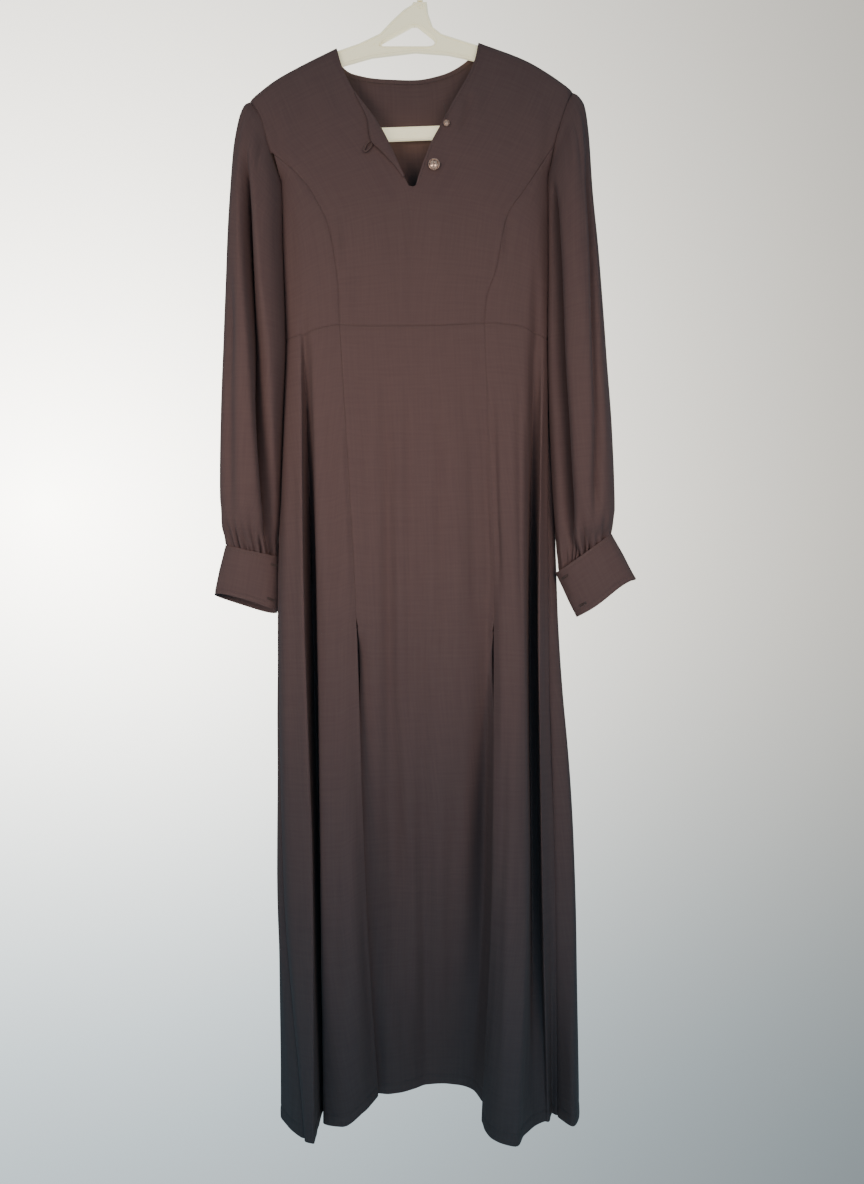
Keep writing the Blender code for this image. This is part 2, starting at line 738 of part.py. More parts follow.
def return_line(panel, part, from_end, offsets):
    """Points of a pleat's turned-in cloth, from the fold to its seam."""
    end = 1.0 if from_end else 0.0
    out = 1.0 if from_end else -1.0
    points = [
        panel.at(end, part),
        off_point(panel, end, part, out * 0.3, RETURN_TURN / 2),
        off_point(panel, end, part, out * -0.6, RETURN_TURN),
    ]
    for place, off in return_places(panel, part, from_end, offsets):
        points.append(off_point(panel, place, part, 0.0, off))
    return points


def add_block(points, faces, block, columns, rows, flip=False):
    """Append a grid of points and its faces."""
    base = len(points)
    points += block
    for face in grid_faces(columns, rows):
        corners = tuple(base + corner for corner in face)
        faces.append(tuple(reversed(corners)) if flip else corners)


def build_skirt_panel(name, panel, pieces, returns, gaps, material, group):
    """A skirt panel with the turned-in cloth of its pleats."""
    places = panel.columns(pieces)
    columns = len(places)
    block = [panel.at(across, part) for part in SKIRT_ROWS for across in places]
    west, east = gaps
    block = pull_in(block, columns, len(SKIRT_ROWS), EMPIRE_GAP, 0.0, west, east)
    open_rows = [part for part in SKIRT_ROWS if part >= PLEAT_OPEN]
    first = len(SKIRT_ROWS) - len(open_rows)
    for from_end, _offsets in returns:
        column = columns - 1 if from_end else 0
        for row in range(first, len(SKIRT_ROWS)):
            block[row * columns + column] = panel.at(places[column], SKIRT_ROWS[row])
    points = []
    faces = []
    add_block(points, faces, block, columns, len(SKIRT_ROWS))
    for from_end, offsets in returns:
        lines = [return_line(panel, part, from_end, offsets) for part in open_rows]
        extra = [point for line in lines for point in line]
        add_block(points, faces, extra, 6, len(open_rows), not from_end)
    return cloth_object(name, points, faces, material, group)


def underlay_side(panel, part, from_end, offsets):
    """Points of the underlay behind one turned-in edge, from its seam to near the fold."""
    points = []
    for index, (place, off) in enumerate(return_places(panel, part, from_end, offsets)):
        extra = UNDERLAY_SEAM_OFF if index == 2 else UNDERLAY_OFF
        points.append(off_point(panel, place, part, 0.0, off + extra))
    return points[::-1]


def build_underlay(name, side_panel, centre_panel, left, material, group):
    """The strip behind a pleat that joins the two turned-in edges."""
    rows = [part for part in SKIRT_ROWS if part >= PLEAT_OPEN]
    points = []
    end = 0.0 if left else 1.0
    out = -1.0 if left else 1.0
    columns = 8
    for part in rows:
        line = underlay_side(side_panel, part, left, SIDE_RETURN_OFF)
        behind = RETURN_TURN + UNDERLAY_OFF
        line.append(off_point(centre_panel, end, part, out * 3.0, behind))
        line.append(off_point(centre_panel, end, part, -out * 5.0, behind))
        line += underlay_side(centre_panel, part, not left, CENTRE_RETURN_OFF)[::-1]
        points += line
    faces = grid_faces(columns, len(rows))
    return cloth_object(name, points, faces, material, group)


# Sleeves and cuffs
def tube_point(section, turn, inward=0.0):
    """Point of a sleeve section; turn 0 is outer, 90 front, 180 inner, 270 back."""
    _name, outer_x, outer_z, inner_x, inner_z, half_depth, centre_y = section
    angle = math.radians(turn)
    half_x = (outer_x - inner_x) / 2
    half_z = (outer_z - inner_z) / 2
    across = math.cos(angle)
    forward = math.sin(angle)
    radius = math.hypot(math.hypot(half_x, half_z) * across, half_depth * forward)
    scale = 1.0 - inward / radius
    return ((outer_x + inner_x) / 2 + half_x * across * scale,
            centre_y - half_depth * forward * scale,
            (outer_z + inner_z) / 2 + half_z * across * scale)


def turn_between(a, b):
    """Smallest turn between two directions, in degrees."""
    return abs((a - b + 180.0) % 360.0 - 180.0)


def sleeve_inward(folds, length_part, from_cuff, turn):
    """How far the cloth is drawn in by its folds and gathers."""
    inward = 0.0
    for _name, turn_top, turn_low, start, end, depth, width in folds:
        here = turn_top + (turn_low - turn_top) * length_part
        grown = smoothstep(start, start + 0.18, length_part)
        if end < 1.0:
            grown *= 1.0 - smoothstep(end - 0.15, end, length_part)
        else:
            grown *= 1.0 - 0.8 * smoothstep(0.86, 1.0, length_part)
        inward += depth * grown * math.exp(-(turn_between(turn, here) / width) ** 2)
    rise = 1.0 - smoothstep(2.0, GATHER_LENGTH, from_cuff)
    inward += GATHER_DEPTH * rise * (1.0 - math.cos(math.radians(GATHERS * turn))) * 0.5
    return inward


def armhole_point(armhole, turn):
    """Point of the armhole seam; turn 0 is the shoulder and 180 the underarm."""
    share = (1.0 - math.cos(math.radians(turn))) / 2
    x, z = smooth_line(armhole)(share)
    side = -1.0 if 0.0 < turn < 180.0 else 1.0
    seam = SIDE_SEAM_LEFT if x < 0 else SIDE_SEAM_RIGHT
    clear = math.copysign(UNDERARM_CLEAR * share ** 5, x)
    return (x + clear, edge_depth(armhole, seam, z, side), z)


def drawn_towards(ring, beside, distance):
    """A ring of points moved a little towards the ring beside it."""
    moved = []
    for a, b in zip(ring, beside):
        run = math.dist(a, b)
        moved.append(tuple(p + (q - p) * distance / run for p, q in zip(a, b)))
    return moved


def build_sleeve(name, armhole, table, folds, material, group):
    """A full sleeve in three lengths, from the armhole to its gathered end."""
    turns = [360.0 * k / SLEEVE_SIDES for k in range(SLEEVE_SIDES)]
    middles = [((row[1] + row[3]) / 2, (row[2] + row[4]) / 2) for row in table]
    start = ((armhole[0][0] + armhole[-1][0]) / 2, (armhole[0][1] + armhole[-1][1]) / 2)
    lengths = [0.0]
    for a, b in zip([start] + middles, middles):
        lengths.append(lengths[-1] + math.dist(a, b))
    rings = [[armhole_point(armhole, turn) for turn in turns]]
    for section, length in zip(table, lengths[1:]):
        part = length / lengths[-1]
        ring = []
        for turn in turns:
            inward = sleeve_inward(folds, part, lengths[-1] - length, turn)
            ring.append(tube_point(section, turn, inward))
        rings.append(ring)
    moved = []
    for a, b in zip(rings[0], rings[1]):
        run = math.dist(a, b)
        moved.append(tuple(p + (q - p) * ARMHOLE_GAP / 2 / run for p, q in zip(a, b)))
    rings[0] = moved
    for length_name, first, last in SLEEVE_LENGTHS:
        length = [list(ring) for ring in rings[first:last + 1]]
        if first > 0:
            length[0] = drawn_towards(length[0], length[1], LENGTH_GAP / 2)
        if last < len(rings) - 1:
            length[-1] = drawn_towards(length[-1], length[-2], LENGTH_GAP / 2)
        points = [point for ring in length for point in ring]
        faces = []
        for row in range(len(length) - 1):
            for k in range(SLEEVE_SIDES):
                after = (k + 1) % SLEEVE_SIDES
                low = row * SLEEVE_SIDES
                high = low + SLEEVE_SIDES
                faces.append((low + k, low + after, high + after, high + k))
        cloth_object(f"{name}_{length_name}", points, faces, material, group)


def cuff_sections(sleeve_end, hem):
    """Sections of a cuff from just below the sleeve's end to its hem."""
    run = math.dist(sleeve_end[1:3], sleeve_end[3:5])
    down_x = (sleeve_end[4] - sleeve_end[2]) / run
    down_z = -(abs(sleeve_end[1] - sleeve_end[3])) / run
    sign = 1.0 if sleeve_end[1] > 0 else -1.0
    step = 0.9
    dx = abs(down_x) * step * sign
    dz = down_z * step
    seam = ("seam", sleeve_end[1] + dx, sleeve_end[2] + dz, sleeve_end[3] + dx,
            sleeve_end[4] + dz, sleeve_end[5] - 0.8, sleeve_end[6])
    middle = ["middle"]
    for a, b in zip(seam[1:], hem[1:]):
        middle.append((a + b) / 2)
    return (seam, tuple(middle), hem)


def cuff_inward(turn):
    """The cuff's under end lies inside its upper end."""
    return CUFF_OVERLAP * smoothstep(-110.0, -176.0, turn)


def build_cuff(name, sections, material, group):
    """A cuff band, open at its inner side where its ends lap."""
    points = []
    for section in sections:
        points += [tube_point(section, turn, cuff_inward(turn)) for turn in CUFF_TURNS]
    faces = grid_faces(len(CUFF_TURNS), len(sections))
    return cloth_object(name, points, faces, material, group, CUFF_WALL)


# Small pieces
def turned_button(name, width, thick, place, facing, material, group, sides=16):
    """A button turned from its half section, its face along the facing direction."""
    radius = width / 2
    half = thick / 2
    rim = (
        (0.0, half * 0.55),
        (radius * 0.62, half * 0.55),
        (radius * 0.76, half),
        (radius * 0.92, half * 0.8),
        (radius, 0.0),
        (radius * 0.9, -half),
        (0.0, -half),
    )
    mesh = bpy.data.meshes.new(name)
    mesh.from_pydata([(x * MM, 0.0, z * MM) for x, z in rim], [(k, k + 1) for k in range(6)], [])
    item = bpy.data.objects.new(name, mesh)
    item.data.materials.append(material)
    group.objects.link(item)
    turn = item.modifiers.new("turned", "SCREW")
    turn.steps = sides
    turn.render_steps = sides
    turn.use_merge_vertices = True
    turn.merge_threshold = 0.00005
    turn.use_smooth_shade = True
    item.location = tuple(c * MM for c in place)
    item.rotation_euler = facing
    return item


def poly_curve(name, points, thickness, material, group, closed=False, sides=2):
    """A round wire or rod through the points."""
    curve = bpy.data.curves.new(name, "CURVE")
    curve.dimensions = "3D"
    curve.fill_mode = "FULL"
    curve.bevel_depth = thickness / 2 * MM
    curve.bevel_resolution = sides
    curve.use_fill_caps = True
    line = curve.splines.new("POLY")
    line.points.add(len(points) - 1)
    for item, point in zip(line.points, points):
        item.co = (point[0] * MM, point[1] * MM, point[2] * MM, 1.0)
    line.use_cyclic_u = closed
    curve.materials.append(material)
    rod = bpy.data.objects.new(name, curve)
    group.objects.link(rod)
    return rod


def plate(name, outlines, thick, edge, material, group):
    """A flat moulded plate from its outlines in x and z, standing across y."""
    curve = bpy.data.curves.new(name, "CURVE")
    curve.dimensions = "2D"
    curve.fill_mode = "BOTH"
    curve.extrude = (thick / 2 - edge) * MM
    curve.bevel_depth = edge * MM
    curve.bevel_resolution = 0
    curve.offset = -edge * MM
    for outline in outlines:
        line = curve.splines.new("POLY")
        line.points.add(len(outline) - 1)
        for item, (x, z) in zip(line.points, outline):
            item.co = (x * MM, z * MM, 0.0, 1.0)
        line.use_cyclic_u = True
    curve.materials.append(material)
    item = bpy.data.objects.new(name, curve)
    item.rotation_euler = (math.radians(90.0), 0.0, 0.0)
    group.objects.link(item)
    return item


# Hanger
HANGER_LEFT = ((-8.5, -78.6), (-10, -82), (-20, -88), (-35, -102), (-50, -118), (-76, -130.5),
               (-104, -140.2), (-127, -151), (-150, -163.4), (-180, -180.4), (-196, -193))
HANGER_LEFT_TIP = ((-201, -199), (-201, -206), (-195, -209))
HANGER_UNDER = ((-180, -198), (-150, -181), (-125, -170), (-97, -158), (-60, -147.5),
                (-6, -141), (35, -144), (70, -151.5), (100, -161), (130, -174), (160, -191.5))
HANGER_RIGHT_TIP = ((170, -199), (176, -196), (177.5, -189.5))
HANGER_RIGHT = ((172.5, -181), (162, -173.4), (133, -156.4), (104, -144), (73, -133.2),
                (44, -124), (27, -118.5), (16, -110), (10.5, -94), (8.5, -78.6))
HANGER_HOLE = ((-7, -107.5), (-3, -109), (17, -125), (19, -129), (16, -133), (8, -133.8),
               (-44, -133.8), (-49, -133), (-48, -130))
BAR_OUTLINE = ((-195, -209.4), (-186, -203.2), (-182, -222), (-176, -233), (-166, -238.6),
               (-49, -235.6), (26, -233), (142, -228.6), (151, -224), (156, -214), (157, -190.9),
               (166, -196.3), (166.5, -218), (162, -233), (152, -243.6), (140, -245.2),
               (16, -249.4), (-41, -251.6), (-166, -255.2), (-180, -250), (-190, -238),
               (-195, -224))


def hook_path():
    """Middle of the hook's rod: a shank, a bend to one side, and round over the top."""
    radius = HOOK_INNER_RADIUS + HOOK_BAND / 2
    centre = -HOOK_INNER_RADIUS
    path = [(0.0, 0.0, -78.2), (0.0, 0.0, -68.0)]
    start = math.radians(-48.0)
    join = (radius * math.cos(start), centre + radius * math.sin(start))
    begin = (0.0, -66.0)
    lead = (0.0, -52.0)
    arrive = (join[0] + math.sin(start) * 9.0, join[1] - math.cos(start) * 9.0)
    for step in range(5):
        t = step / 5
        weights = ((1 - t) ** 3, 3 * t * (1 - t) ** 2, 3 * t * t * (1 - t), t ** 3)
        x = sum(w * p[0] for w, p in zip(weights, (begin, lead, arrive, join)))
        z = sum(w * p[1] for w, p in zip(weights, (begin, lead, arrive, join)))
        path.append((x, 0.0, z))
    for step in range(19):
        angle = start + math.radians(250.0) * step / 18
        path.append((radius * math.cos(angle), 0.0, centre + radius * math.sin(angle)))
    return path


def facing_width(z):
    """How far the turned-back front edge reaches from the slit at a height."""
    knots = (-314.0, -295.0, -265.0, -252.0, -240.0, -225.0, -196.0)
    widths = (1.0, 4.0, 14.0, 19.0, 15.5, 8.0, 1.0)
    return smooth_curve(knots, widths)(clamp(z, knots[0], knots[-1]))


def build_facing(material, group):
    """The left front edge, turned back so that its inside shows."""
    edge = smooth_line(NECK_FRONT_LEFT)
    start = join_share(NECK_FRONT_LEFT, (-79.5, -196.0))
    end = join_share(NECK_FRONT_LEFT, (-18.5, -304.0))
    rows = 9
    shares = (0.0, 0.3, 0.65, 1.0)
    points = []
    for row in range(rows):
        at = start + (end - start) * row / (rows - 1)
        x, z = edge(at)
        a = edge(at - 0.01)
        b = edge(at + 0.01)
        run = math.dist(a, b)
        out = ((b[1] - a[1]) / run, -(b[0] - a[0]) / run)
        wide = facing_width(z)
        for share in shares:
            px = x + out[0] * wide * share
            pz = z + out[1] * wide * share
            lift = WALL + 0.4 + 1.6 * share * smoothstep(2.0, 18.0, wide)
            points.append((px, body_depth(px, pz, -1.0) - lift, pz))
    faces = grid_faces(len(shares), rows)
    return cloth_object("front_facing_turned_back", points, faces, material, group, 1.0)


def build_loop(material, group):
    """The buttonhole loop at the corner of the turned-back edge."""
    centre = (-63.5, -266.0)
    along = math.radians(238.0)
    points = []
    for step in range(14):
        angle = 2 * math.pi * step / 14
        u = 8.2 * math.cos(angle)
        w = 2.9 * math.sin(angle)
        x = centre[0] + u * math.cos(along) - w * math.sin(along)
        z = centre[1] + u * math.sin(along) + w * math.cos(along)
        points.append((x, body_depth(x, z, -1.0) - 1.9, z))
    return poly_curve("button_loop", points, 1.6, material, group, True, 1)


def build_cuff_buttons(side_name, sections, material, group):
    """Two flat buttons on a cuff's under end, inside the lap."""
    outer = -1.0 if sections[0][1] < 0 else 1.0
    for index, share in enumerate((0.28, 0.74)):
        lower = 0 if share < 0.5 else 1
        local = share * 2 - lower
        a = tube_point(sections[lower], -182.0, cuff_inward(-182.0))
        b = tube_point(sections[lower + 1], -182.0, cuff_inward(-182.0))
        lean = math.atan2(b[0] - a[0], a[2] - b[2])
        off = CUFF_WALL / 2 + CUFF_BUTTON[1] / 2 + 0.5
        place = [p + (q - p) * local for p, q in zip(a, b)]
        place[0] -= outer * off * math.cos(lean)
        place[2] -= outer * off * math.sin(lean)
        turned_button(f"cuff_button_{side_name}_{index + 1}", CUFF_BUTTON[0], CUFF_BUTTON[1], place,
                      (0.0, math.radians(-90.0 * outer) - lean, 0.0), material, group, 12)


def main():
    """Build the dress and its hanger."""
    clear_scene()
    dress = make_collection("jilbab_dress_on_hanger")
    cloth = make_material("cocoa_crepe", CLOTH, 0.85)
    inside = make_material("cocoa_crepe_facing", CLOTH_INSIDE, 0.88)
    plastic = make_material("ivory_plastic", IVORY, 0.38)
    button = make_material("champagne_button", CHAMPAGNE, 0.25, 0.2)
    horn = make_material("brown_button", CLOTH_INSIDE, 0.4)

    build_front_centre(cloth, dress)
    build_side_front("bodice_side_front_left", PRINCESS_LEFT, ARMHOLE_LEFT, SIDE_SEAM_LEFT,
                     cloth, dress)
    build_side_front("bodice_side_front_right", PRINCESS_RIGHT, ARMHOLE_RIGHT, SIDE_SEAM_RIGHT,
                     cloth, dress)
    build_back(cloth, dress)
    build_facing(inside, dress)

    left = SkirtPanel(SIDE_FRONT_LEFT_FOLDS, -1.0)
    right = SkirtPanel(SIDE_FRONT_RIGHT_FOLDS, -1.0)
    middle = CentrePanel(CENTRE_FOLDS, left, right)
    back = SkirtPanel(BACK_FOLDS, 1.0)
    half = SEAM_GAP / 2
    build_skirt_panel("skirt_side_front_left", left, 2, ((True, SIDE_RETURN_OFF),),
                      (SEAM_GAP, half), cloth, dress)
    build_skirt_panel("skirt_side_front_right", right, 2, ((False, SIDE_RETURN_OFF),),
                      (half, SEAM_GAP), cloth, dress)
    build_skirt_panel("skirt_front_centre", middle, 2,
                      ((False, CENTRE_RETURN_OFF), (True, CENTRE_RETURN_OFF)),
                      (0.05, 0.05), cloth, dress)
    build_skirt_panel("skirt_back", back, 2, (), (SEAM_GAP, SEAM_GAP), cloth, dress)
    build_underlay("pleat_underlay_left", left, middle, True, cloth, dress)
    build_underlay("pleat_underlay_right", right, middle, False, cloth, dress)

    build_sleeve("sleeve_left", ARMHOLE_LEFT, SLEEVE_LEFT, SLEEVE_FOLDS_LEFT, cloth, dress)
    build_sleeve("sleeve_right", ARMHOLE_RIGHT, SLEEVE_RIGHT, SLEEVE_FOLDS_RIGHT, cloth, dress)
    for side_name, sleeve, hem in (("left", SLEEVE_LEFT, CUFF_HEM_LEFT),
                                   ("right", SLEEVE_RIGHT, CUFF_HEM_RIGHT)):
        sections = cuff_sections(sleeve[-1], hem)
        build_cuff(f"cuff_{side_name}", sections, cloth, dress)
        build_cuff_buttons(side_name, sections, horn, dress)

    for name, size, material in (("neck_button", NECK_BUTTON, button),
                                 ("top_button", TOP_BUTTON, horn)):
        width, thick, x, z = size
        y = body_depth(x, z, -1.0) - WALL / 2 - thick / 2 - 0.6
        turned_button(name, width, thick, (x, y, z), (math.radians(90.0), 0.0, 0.0), material, dress)
    build_loop(inside, dress)

    plate("hanger_frame",
          (HANGER_LEFT + HANGER_LEFT_TIP + HANGER_UNDER + HANGER_RIGHT_TIP + HANGER_RIGHT,
           HANGER_HOLE), HANGER_THICK, HANGER_EDGE, plastic, dress)
    plate("hanger_bar", (BAR_OUTLINE,), BAR_THICK, 1.0, plastic, dress)
    poly_curve("hanger_hook", hook_path(), HOOK_BAND, plastic, dress)


main()
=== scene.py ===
"""A dark brown long-sleeved jilbab dress on a cream moulded clothes hanger.

Lengths in the tables are millimetres and the scene is in metres.  +Z is up, -Y is the front
of the dress and +X is the viewer's right.  The origin is the top of the inside of the hook.
Left and right in every name are the viewer's.
"""

import logging
import math
from collections.abc import Callable, Sequence
from dataclasses import dataclass, field
from enum import Enum

import bmesh
import bpy
import numpy as np
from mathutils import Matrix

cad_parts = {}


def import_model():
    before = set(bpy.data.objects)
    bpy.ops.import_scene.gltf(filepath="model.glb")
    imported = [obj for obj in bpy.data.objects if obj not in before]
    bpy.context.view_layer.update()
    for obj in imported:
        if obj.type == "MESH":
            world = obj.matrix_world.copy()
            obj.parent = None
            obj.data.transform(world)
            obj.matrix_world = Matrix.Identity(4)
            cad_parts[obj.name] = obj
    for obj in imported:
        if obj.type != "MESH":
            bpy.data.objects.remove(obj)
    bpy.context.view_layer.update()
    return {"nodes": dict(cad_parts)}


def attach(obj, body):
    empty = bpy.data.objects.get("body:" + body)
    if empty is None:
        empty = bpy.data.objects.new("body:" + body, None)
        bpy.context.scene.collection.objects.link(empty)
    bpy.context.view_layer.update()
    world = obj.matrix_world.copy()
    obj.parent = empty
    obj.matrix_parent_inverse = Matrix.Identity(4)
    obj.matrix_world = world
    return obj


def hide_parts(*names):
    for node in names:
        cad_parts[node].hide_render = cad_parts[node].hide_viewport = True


LOG = logging.getLogger("jilbab")
MM = 0.001
WAVE_BANDS = 3.2  # bands in one unit of a wave texture of scale 1
Array = np.ndarray
Line = tuple[tuple[float, float], ...]
Triple = tuple[float, float, float]
Quad = tuple[float, float, float, float]
Reader = Callable[[Array], Array]
Material = bpy.types.Material
Socket = bpy.types.NodeSocket
Piece = bpy.types.Object


class Face(Enum):
    """Which way a piece of cloth faces."""

    FRONT = -1.0
    BACK = 1.0


class Slot(Enum):
    """Material slot names, passed along with the hard pieces but not set on them."""

    CLOTH = "dress_fabric"
    BUTTON = "button_plastic"
    HANGER = "hanger_plastic"


# ---- Colour and nodes ----
def linear(colour: str) -> Quad:
    """Turn an sRGB hex colour to linear.

    Args:
        colour: six hex digits after a hash.

    Returns:
        Red, green, blue and alpha.
    """
    values = [int(colour[k:k + 2], 16) / 255.0 for k in (1, 3, 5)]
    flat = [v / 12.92 if v <= 0.04045 else ((v + 0.055) / 1.055) ** 2.4 for v in values]
    return (flat[0], flat[1], flat[2], 1.0)


class NodePen:
    """Adds nodes to one tree and links them."""

    def __init__(self, tree: bpy.types.NodeTree) -> None:
        """Take up the tree."""
        self.tree = tree

    def wire(self, node: bpy.types.Node, inputs: dict) -> None:
        """Link sockets to a node's inputs, and set plain values on the others."""
        for name, value in inputs.items():
            if isinstance(value, Socket):
                self.tree.links.new(value, node.inputs[name])
            else:
                node.inputs[name].default_value = value

    def add(self, kind: str, inputs: dict, out: str | int = 0, **settings: object) -> Socket:
        """Add a node.

        Args:
            kind: the node's type name, after the word ShaderNode.
            inputs: input name or number to a socket, or to a plain value.
            out: name or number of the output that is wanted.
            settings: attributes of the node.

        Returns:
            The output's socket.
        """
        node = self.tree.nodes.new(f"ShaderNode{kind}")
        for name, value in settings.items():
            setattr(node, name, value)
        self.wire(node, inputs)
        return node.outputs[out]

    def place(self) -> Socket:
        """Where each point is on its own piece, in metres."""
        return self.add("TexCoord", {}, "Object")

    def noise(self, place: Socket, scale: float, detail: float, distortion: float = 0.0) -> Socket:
        """Clouds from 0 to 1."""
        inputs = {"Vector": place, "Scale": scale, "Detail": detail, "Distortion": distortion}
        return self.add("TexNoise", inputs, "Fac")

    def wave(self, place: Socket, size_mm: float, turn: str, distortion: float, **detail: float) -> Socket:
        """Bands from 0 to 1, each as wide as a yarn."""
        inputs = {"Vector": place, "Scale": 1.0 / (size_mm * MM) / WAVE_BANDS, "Distortion": distortion}
        inputs |= {name.replace("_", " "): value for name, value in detail.items()}
        return self.add("TexWave", inputs, "Fac", bands_direction=turn)

    def mix(self, share: Socket, low: str, high: str) -> Socket:
        """A colour between two sRGB colours."""
        return self.add("Mix", {"Factor": share, 6: linear(low), 7: linear(high)}, 2, data_type="RGBA")

    def maths(self, operation: str, *values: Socket | float, clamp: bool = False) -> Socket:
        """A number worked out from others."""
        return self.add("Math", dict(enumerate(values)), operation=operation, use_clamp=clamp)

    def bump(self, height: Socket, strength: float, high_mm: float) -> Socket:
        """A surface roughened by a height."""
        return self.add("Bump", {"Height": height, "Strength": strength, "Distance": high_mm * MM})


def new_material(name: str) -> tuple[Material, NodePen, bpy.types.Node]:
    """Make a material.

    Args:
        name: the material's name.

    Returns:
        The material, a pen for its tree, and its Principled shader.
    """
    material = bpy.data.materials.new(name)
    material.use_nodes = True
    tree = material.node_tree
    return material, NodePen(tree), tree.nodes["Principled BSDF"]


@dataclass(frozen=True)
class CrepeWeave:
    """Polyester crepe, woven plain from tightly twisted yarn: matt, soft, even in colour."""

    name: str = "woven_crepe_cocoa"
    colour: str = "#614d4b"
    shade: str = "#5a4646"
    fuzz: str = "#b0a09e"
    thread_mm: float = 1.0
    slub_mm: float = 2.6
    warp_mm: float = 70.0
    weft_mm: float = 50.0
    weave_share: float = 0.30
    roughness: float = 0.82
    sheen: float = 0.10
    bump: float = 0.30

    def dress(self) -> Material:
        """Build the cloth's material, laid by each piece's own grain."""
        material, pen, shader = new_material(self.name)
        lay = pen.add("UVMap", {}, uv_map="grain")
        # yarns that run a little thicker and thinner down the cloth and across it
        tones = []
        for across, down in ((self.slub_mm, self.warp_mm), (self.weft_mm, self.slub_mm * 1.2)):
            scale = (1.0 / (across * MM), 1.0 / (down * MM), 1.0)
            tones.append(pen.noise(pen.add("Mapping", {"Vector": lay, "Scale": scale}), 1.0, 2.0))
        even = pen.add("MapRange", {"Value": pen.maths("ADD", *tones), "From Min": 0.6, "From Max": 1.4})
        # plain weave at 1 mm, coarser than the real 0.3 mm so that it shows in a close view
        yarns = (pen.wave(lay, self.thread_mm, turn, 0.8, Detail=1.0, Detail_Scale=2.0) for turn in "XY")
        weave = pen.maths("MULTIPLY", *yarns)
        lit = pen.maths("MULTIPLY_ADD", weave, self.weave_share, even, clamp=True)
        pen.wire(shader, {"Base Color": pen.mix(lit, self.shade, self.colour),
                          "Normal": pen.bump(weave, self.bump, 0.2),
                          "Roughness": self.roughness, "Specular IOR Level": 0.22, "Sheen Weight": self.sheen,
                          "Sheen Roughness": 0.5, "Sheen Tint": linear(self.fuzz)})
        return material


@dataclass(frozen=True)
class SewingThread:
    """Polyester core-spun thread, twisted: a little glossier than the cloth."""

    name: str = "spun_thread_cocoa"
    colour: str = "#4a3935"
    shade: str = "#3a2c29"
    twist_mm: float = 0.8

    def dress(self) -> Material:
        """Build the thread's material; the plies' twist of 0.4 mm a turn is drawn at 0.8 mm."""
        material, pen, shader = new_material(self.name)
        twist = pen.wave(pen.place(), self.twist_mm, "DIAGONAL", 0.6)
        pen.wire(shader, {"Base Color": pen.mix(twist, self.shade, self.colour), "Roughness": 0.55,
                          "Sheen Weight": 0.1})
        return material


@dataclass(frozen=True)
class MouldedPlastic:
    """Polypropylene or polyester resin, injection moulded: satin or polished skin, with a painted glow where
    glow is set.
    """

    name: str
    colour: str
    deep: str
    roughness: float
    grit_mm: float
    bump: float
    coat: float = 0.0
    # strength of a painted glow that stands in for light on the pale plastic
    glow: float = 0.0
    cloud_mm: float = 14.0
    # reach of the painted shade that darkens the glow in corners and beside other parts
    glow_shade_mm: float = 9.0

    def dress(self) -> Material:
        """Build the plastic's material."""
        material, pen, shader = new_material(self.name)
        cloud = pen.noise(pen.place(), 1.0 / (self.cloud_mm * MM), 3.0)
        rough = {"Value": cloud, "To Min": self.roughness - 0.06, "To Max": self.roughness + 0.08}
        # spark-eroded tool texture left on the moulding
        grit = pen.noise(pen.place(), 1.0 / (self.grit_mm * MM), 3.0)
        # painted glow: the plastic emits its own colour so that its shade side isn't grey, and ambient
        # occlusion paints that glow darker in corners and beside other parts (painted shade)
        through = pen.add("AmbientOcclusion", {"Color": linear(self.colour), "Distance": self.glow_shade_mm * MM})
        pen.wire(shader, {"Base Color": pen.mix(cloud, self.deep, self.colour),
                          "Normal": pen.bump(grit, self.bump, 0.1), "Roughness": pen.add("MapRange", rough),
                          "Coat Weight": self.coat, "IOR": 1.49,
                          "Emission Color": through, "Emission Strength": self.glow})
        return material


@dataclass(frozen=True)
class BiasTube:
    """The same crepe cut on the cross and sewn to a narrow tube, so its weave runs slantwise."""

    name: str = "bias_crepe_cocoa"
    colour: str = "#5f4843"
    shade: str = "#553f3b"

    def dress(self) -> Material:
        """Build the tube's material; the weave is drawn at 1 mm instead of 0.3 mm."""
        material, pen, shader = new_material(self.name)
        weave = pen.wave(pen.place(), 1.0, "DIAGONAL", 0.8)
        pen.wire(shader, {"Base Color": pen.mix(weave, self.shade, self.colour),
                          "Normal": pen.bump(weave, 0.3, 0.2), "Roughness": 0.8, "Sheen Weight": 0.1})
        return material


@dataclass(frozen=True)
class CutPearl:
    """Acrylic button, cut and vacuum coated champagne, with brown veins under the polish."""

    name: str = "cut_acrylic_champagne"
    colour: str = "#d9b6a2"
    vein: str = "#6d4535"
    vein_mm: float = 3.2

    def dress(self) -> Material:
        """Build the button's material."""
        material, pen, shader = new_material(self.name)
        clouds = pen.noise(pen.place(), 1.0 / (self.vein_mm * MM), 4.0, 1.6)
        share = pen.add("MapRange", {"Value": clouds, "From Min": 0.52, "From Max": 0.62})
        pen.wire(shader, {"Base Color": pen.mix(share, self.colour, self.vein), "Roughness": 0.18,
                          "Metallic": 0.35, "Coat Weight": 0.6})
        return material


# ---- Curves ----
def smoothstep(start: float, end: float, value: Array | float) -> Array:
    """Rise smoothly from 0 at start to 1 at end."""
    part = np.clip((np.asarray(value, float) - start) / (end - start), 0.0, 1.0)
    return part * part * (3.0 - 2.0 * part)


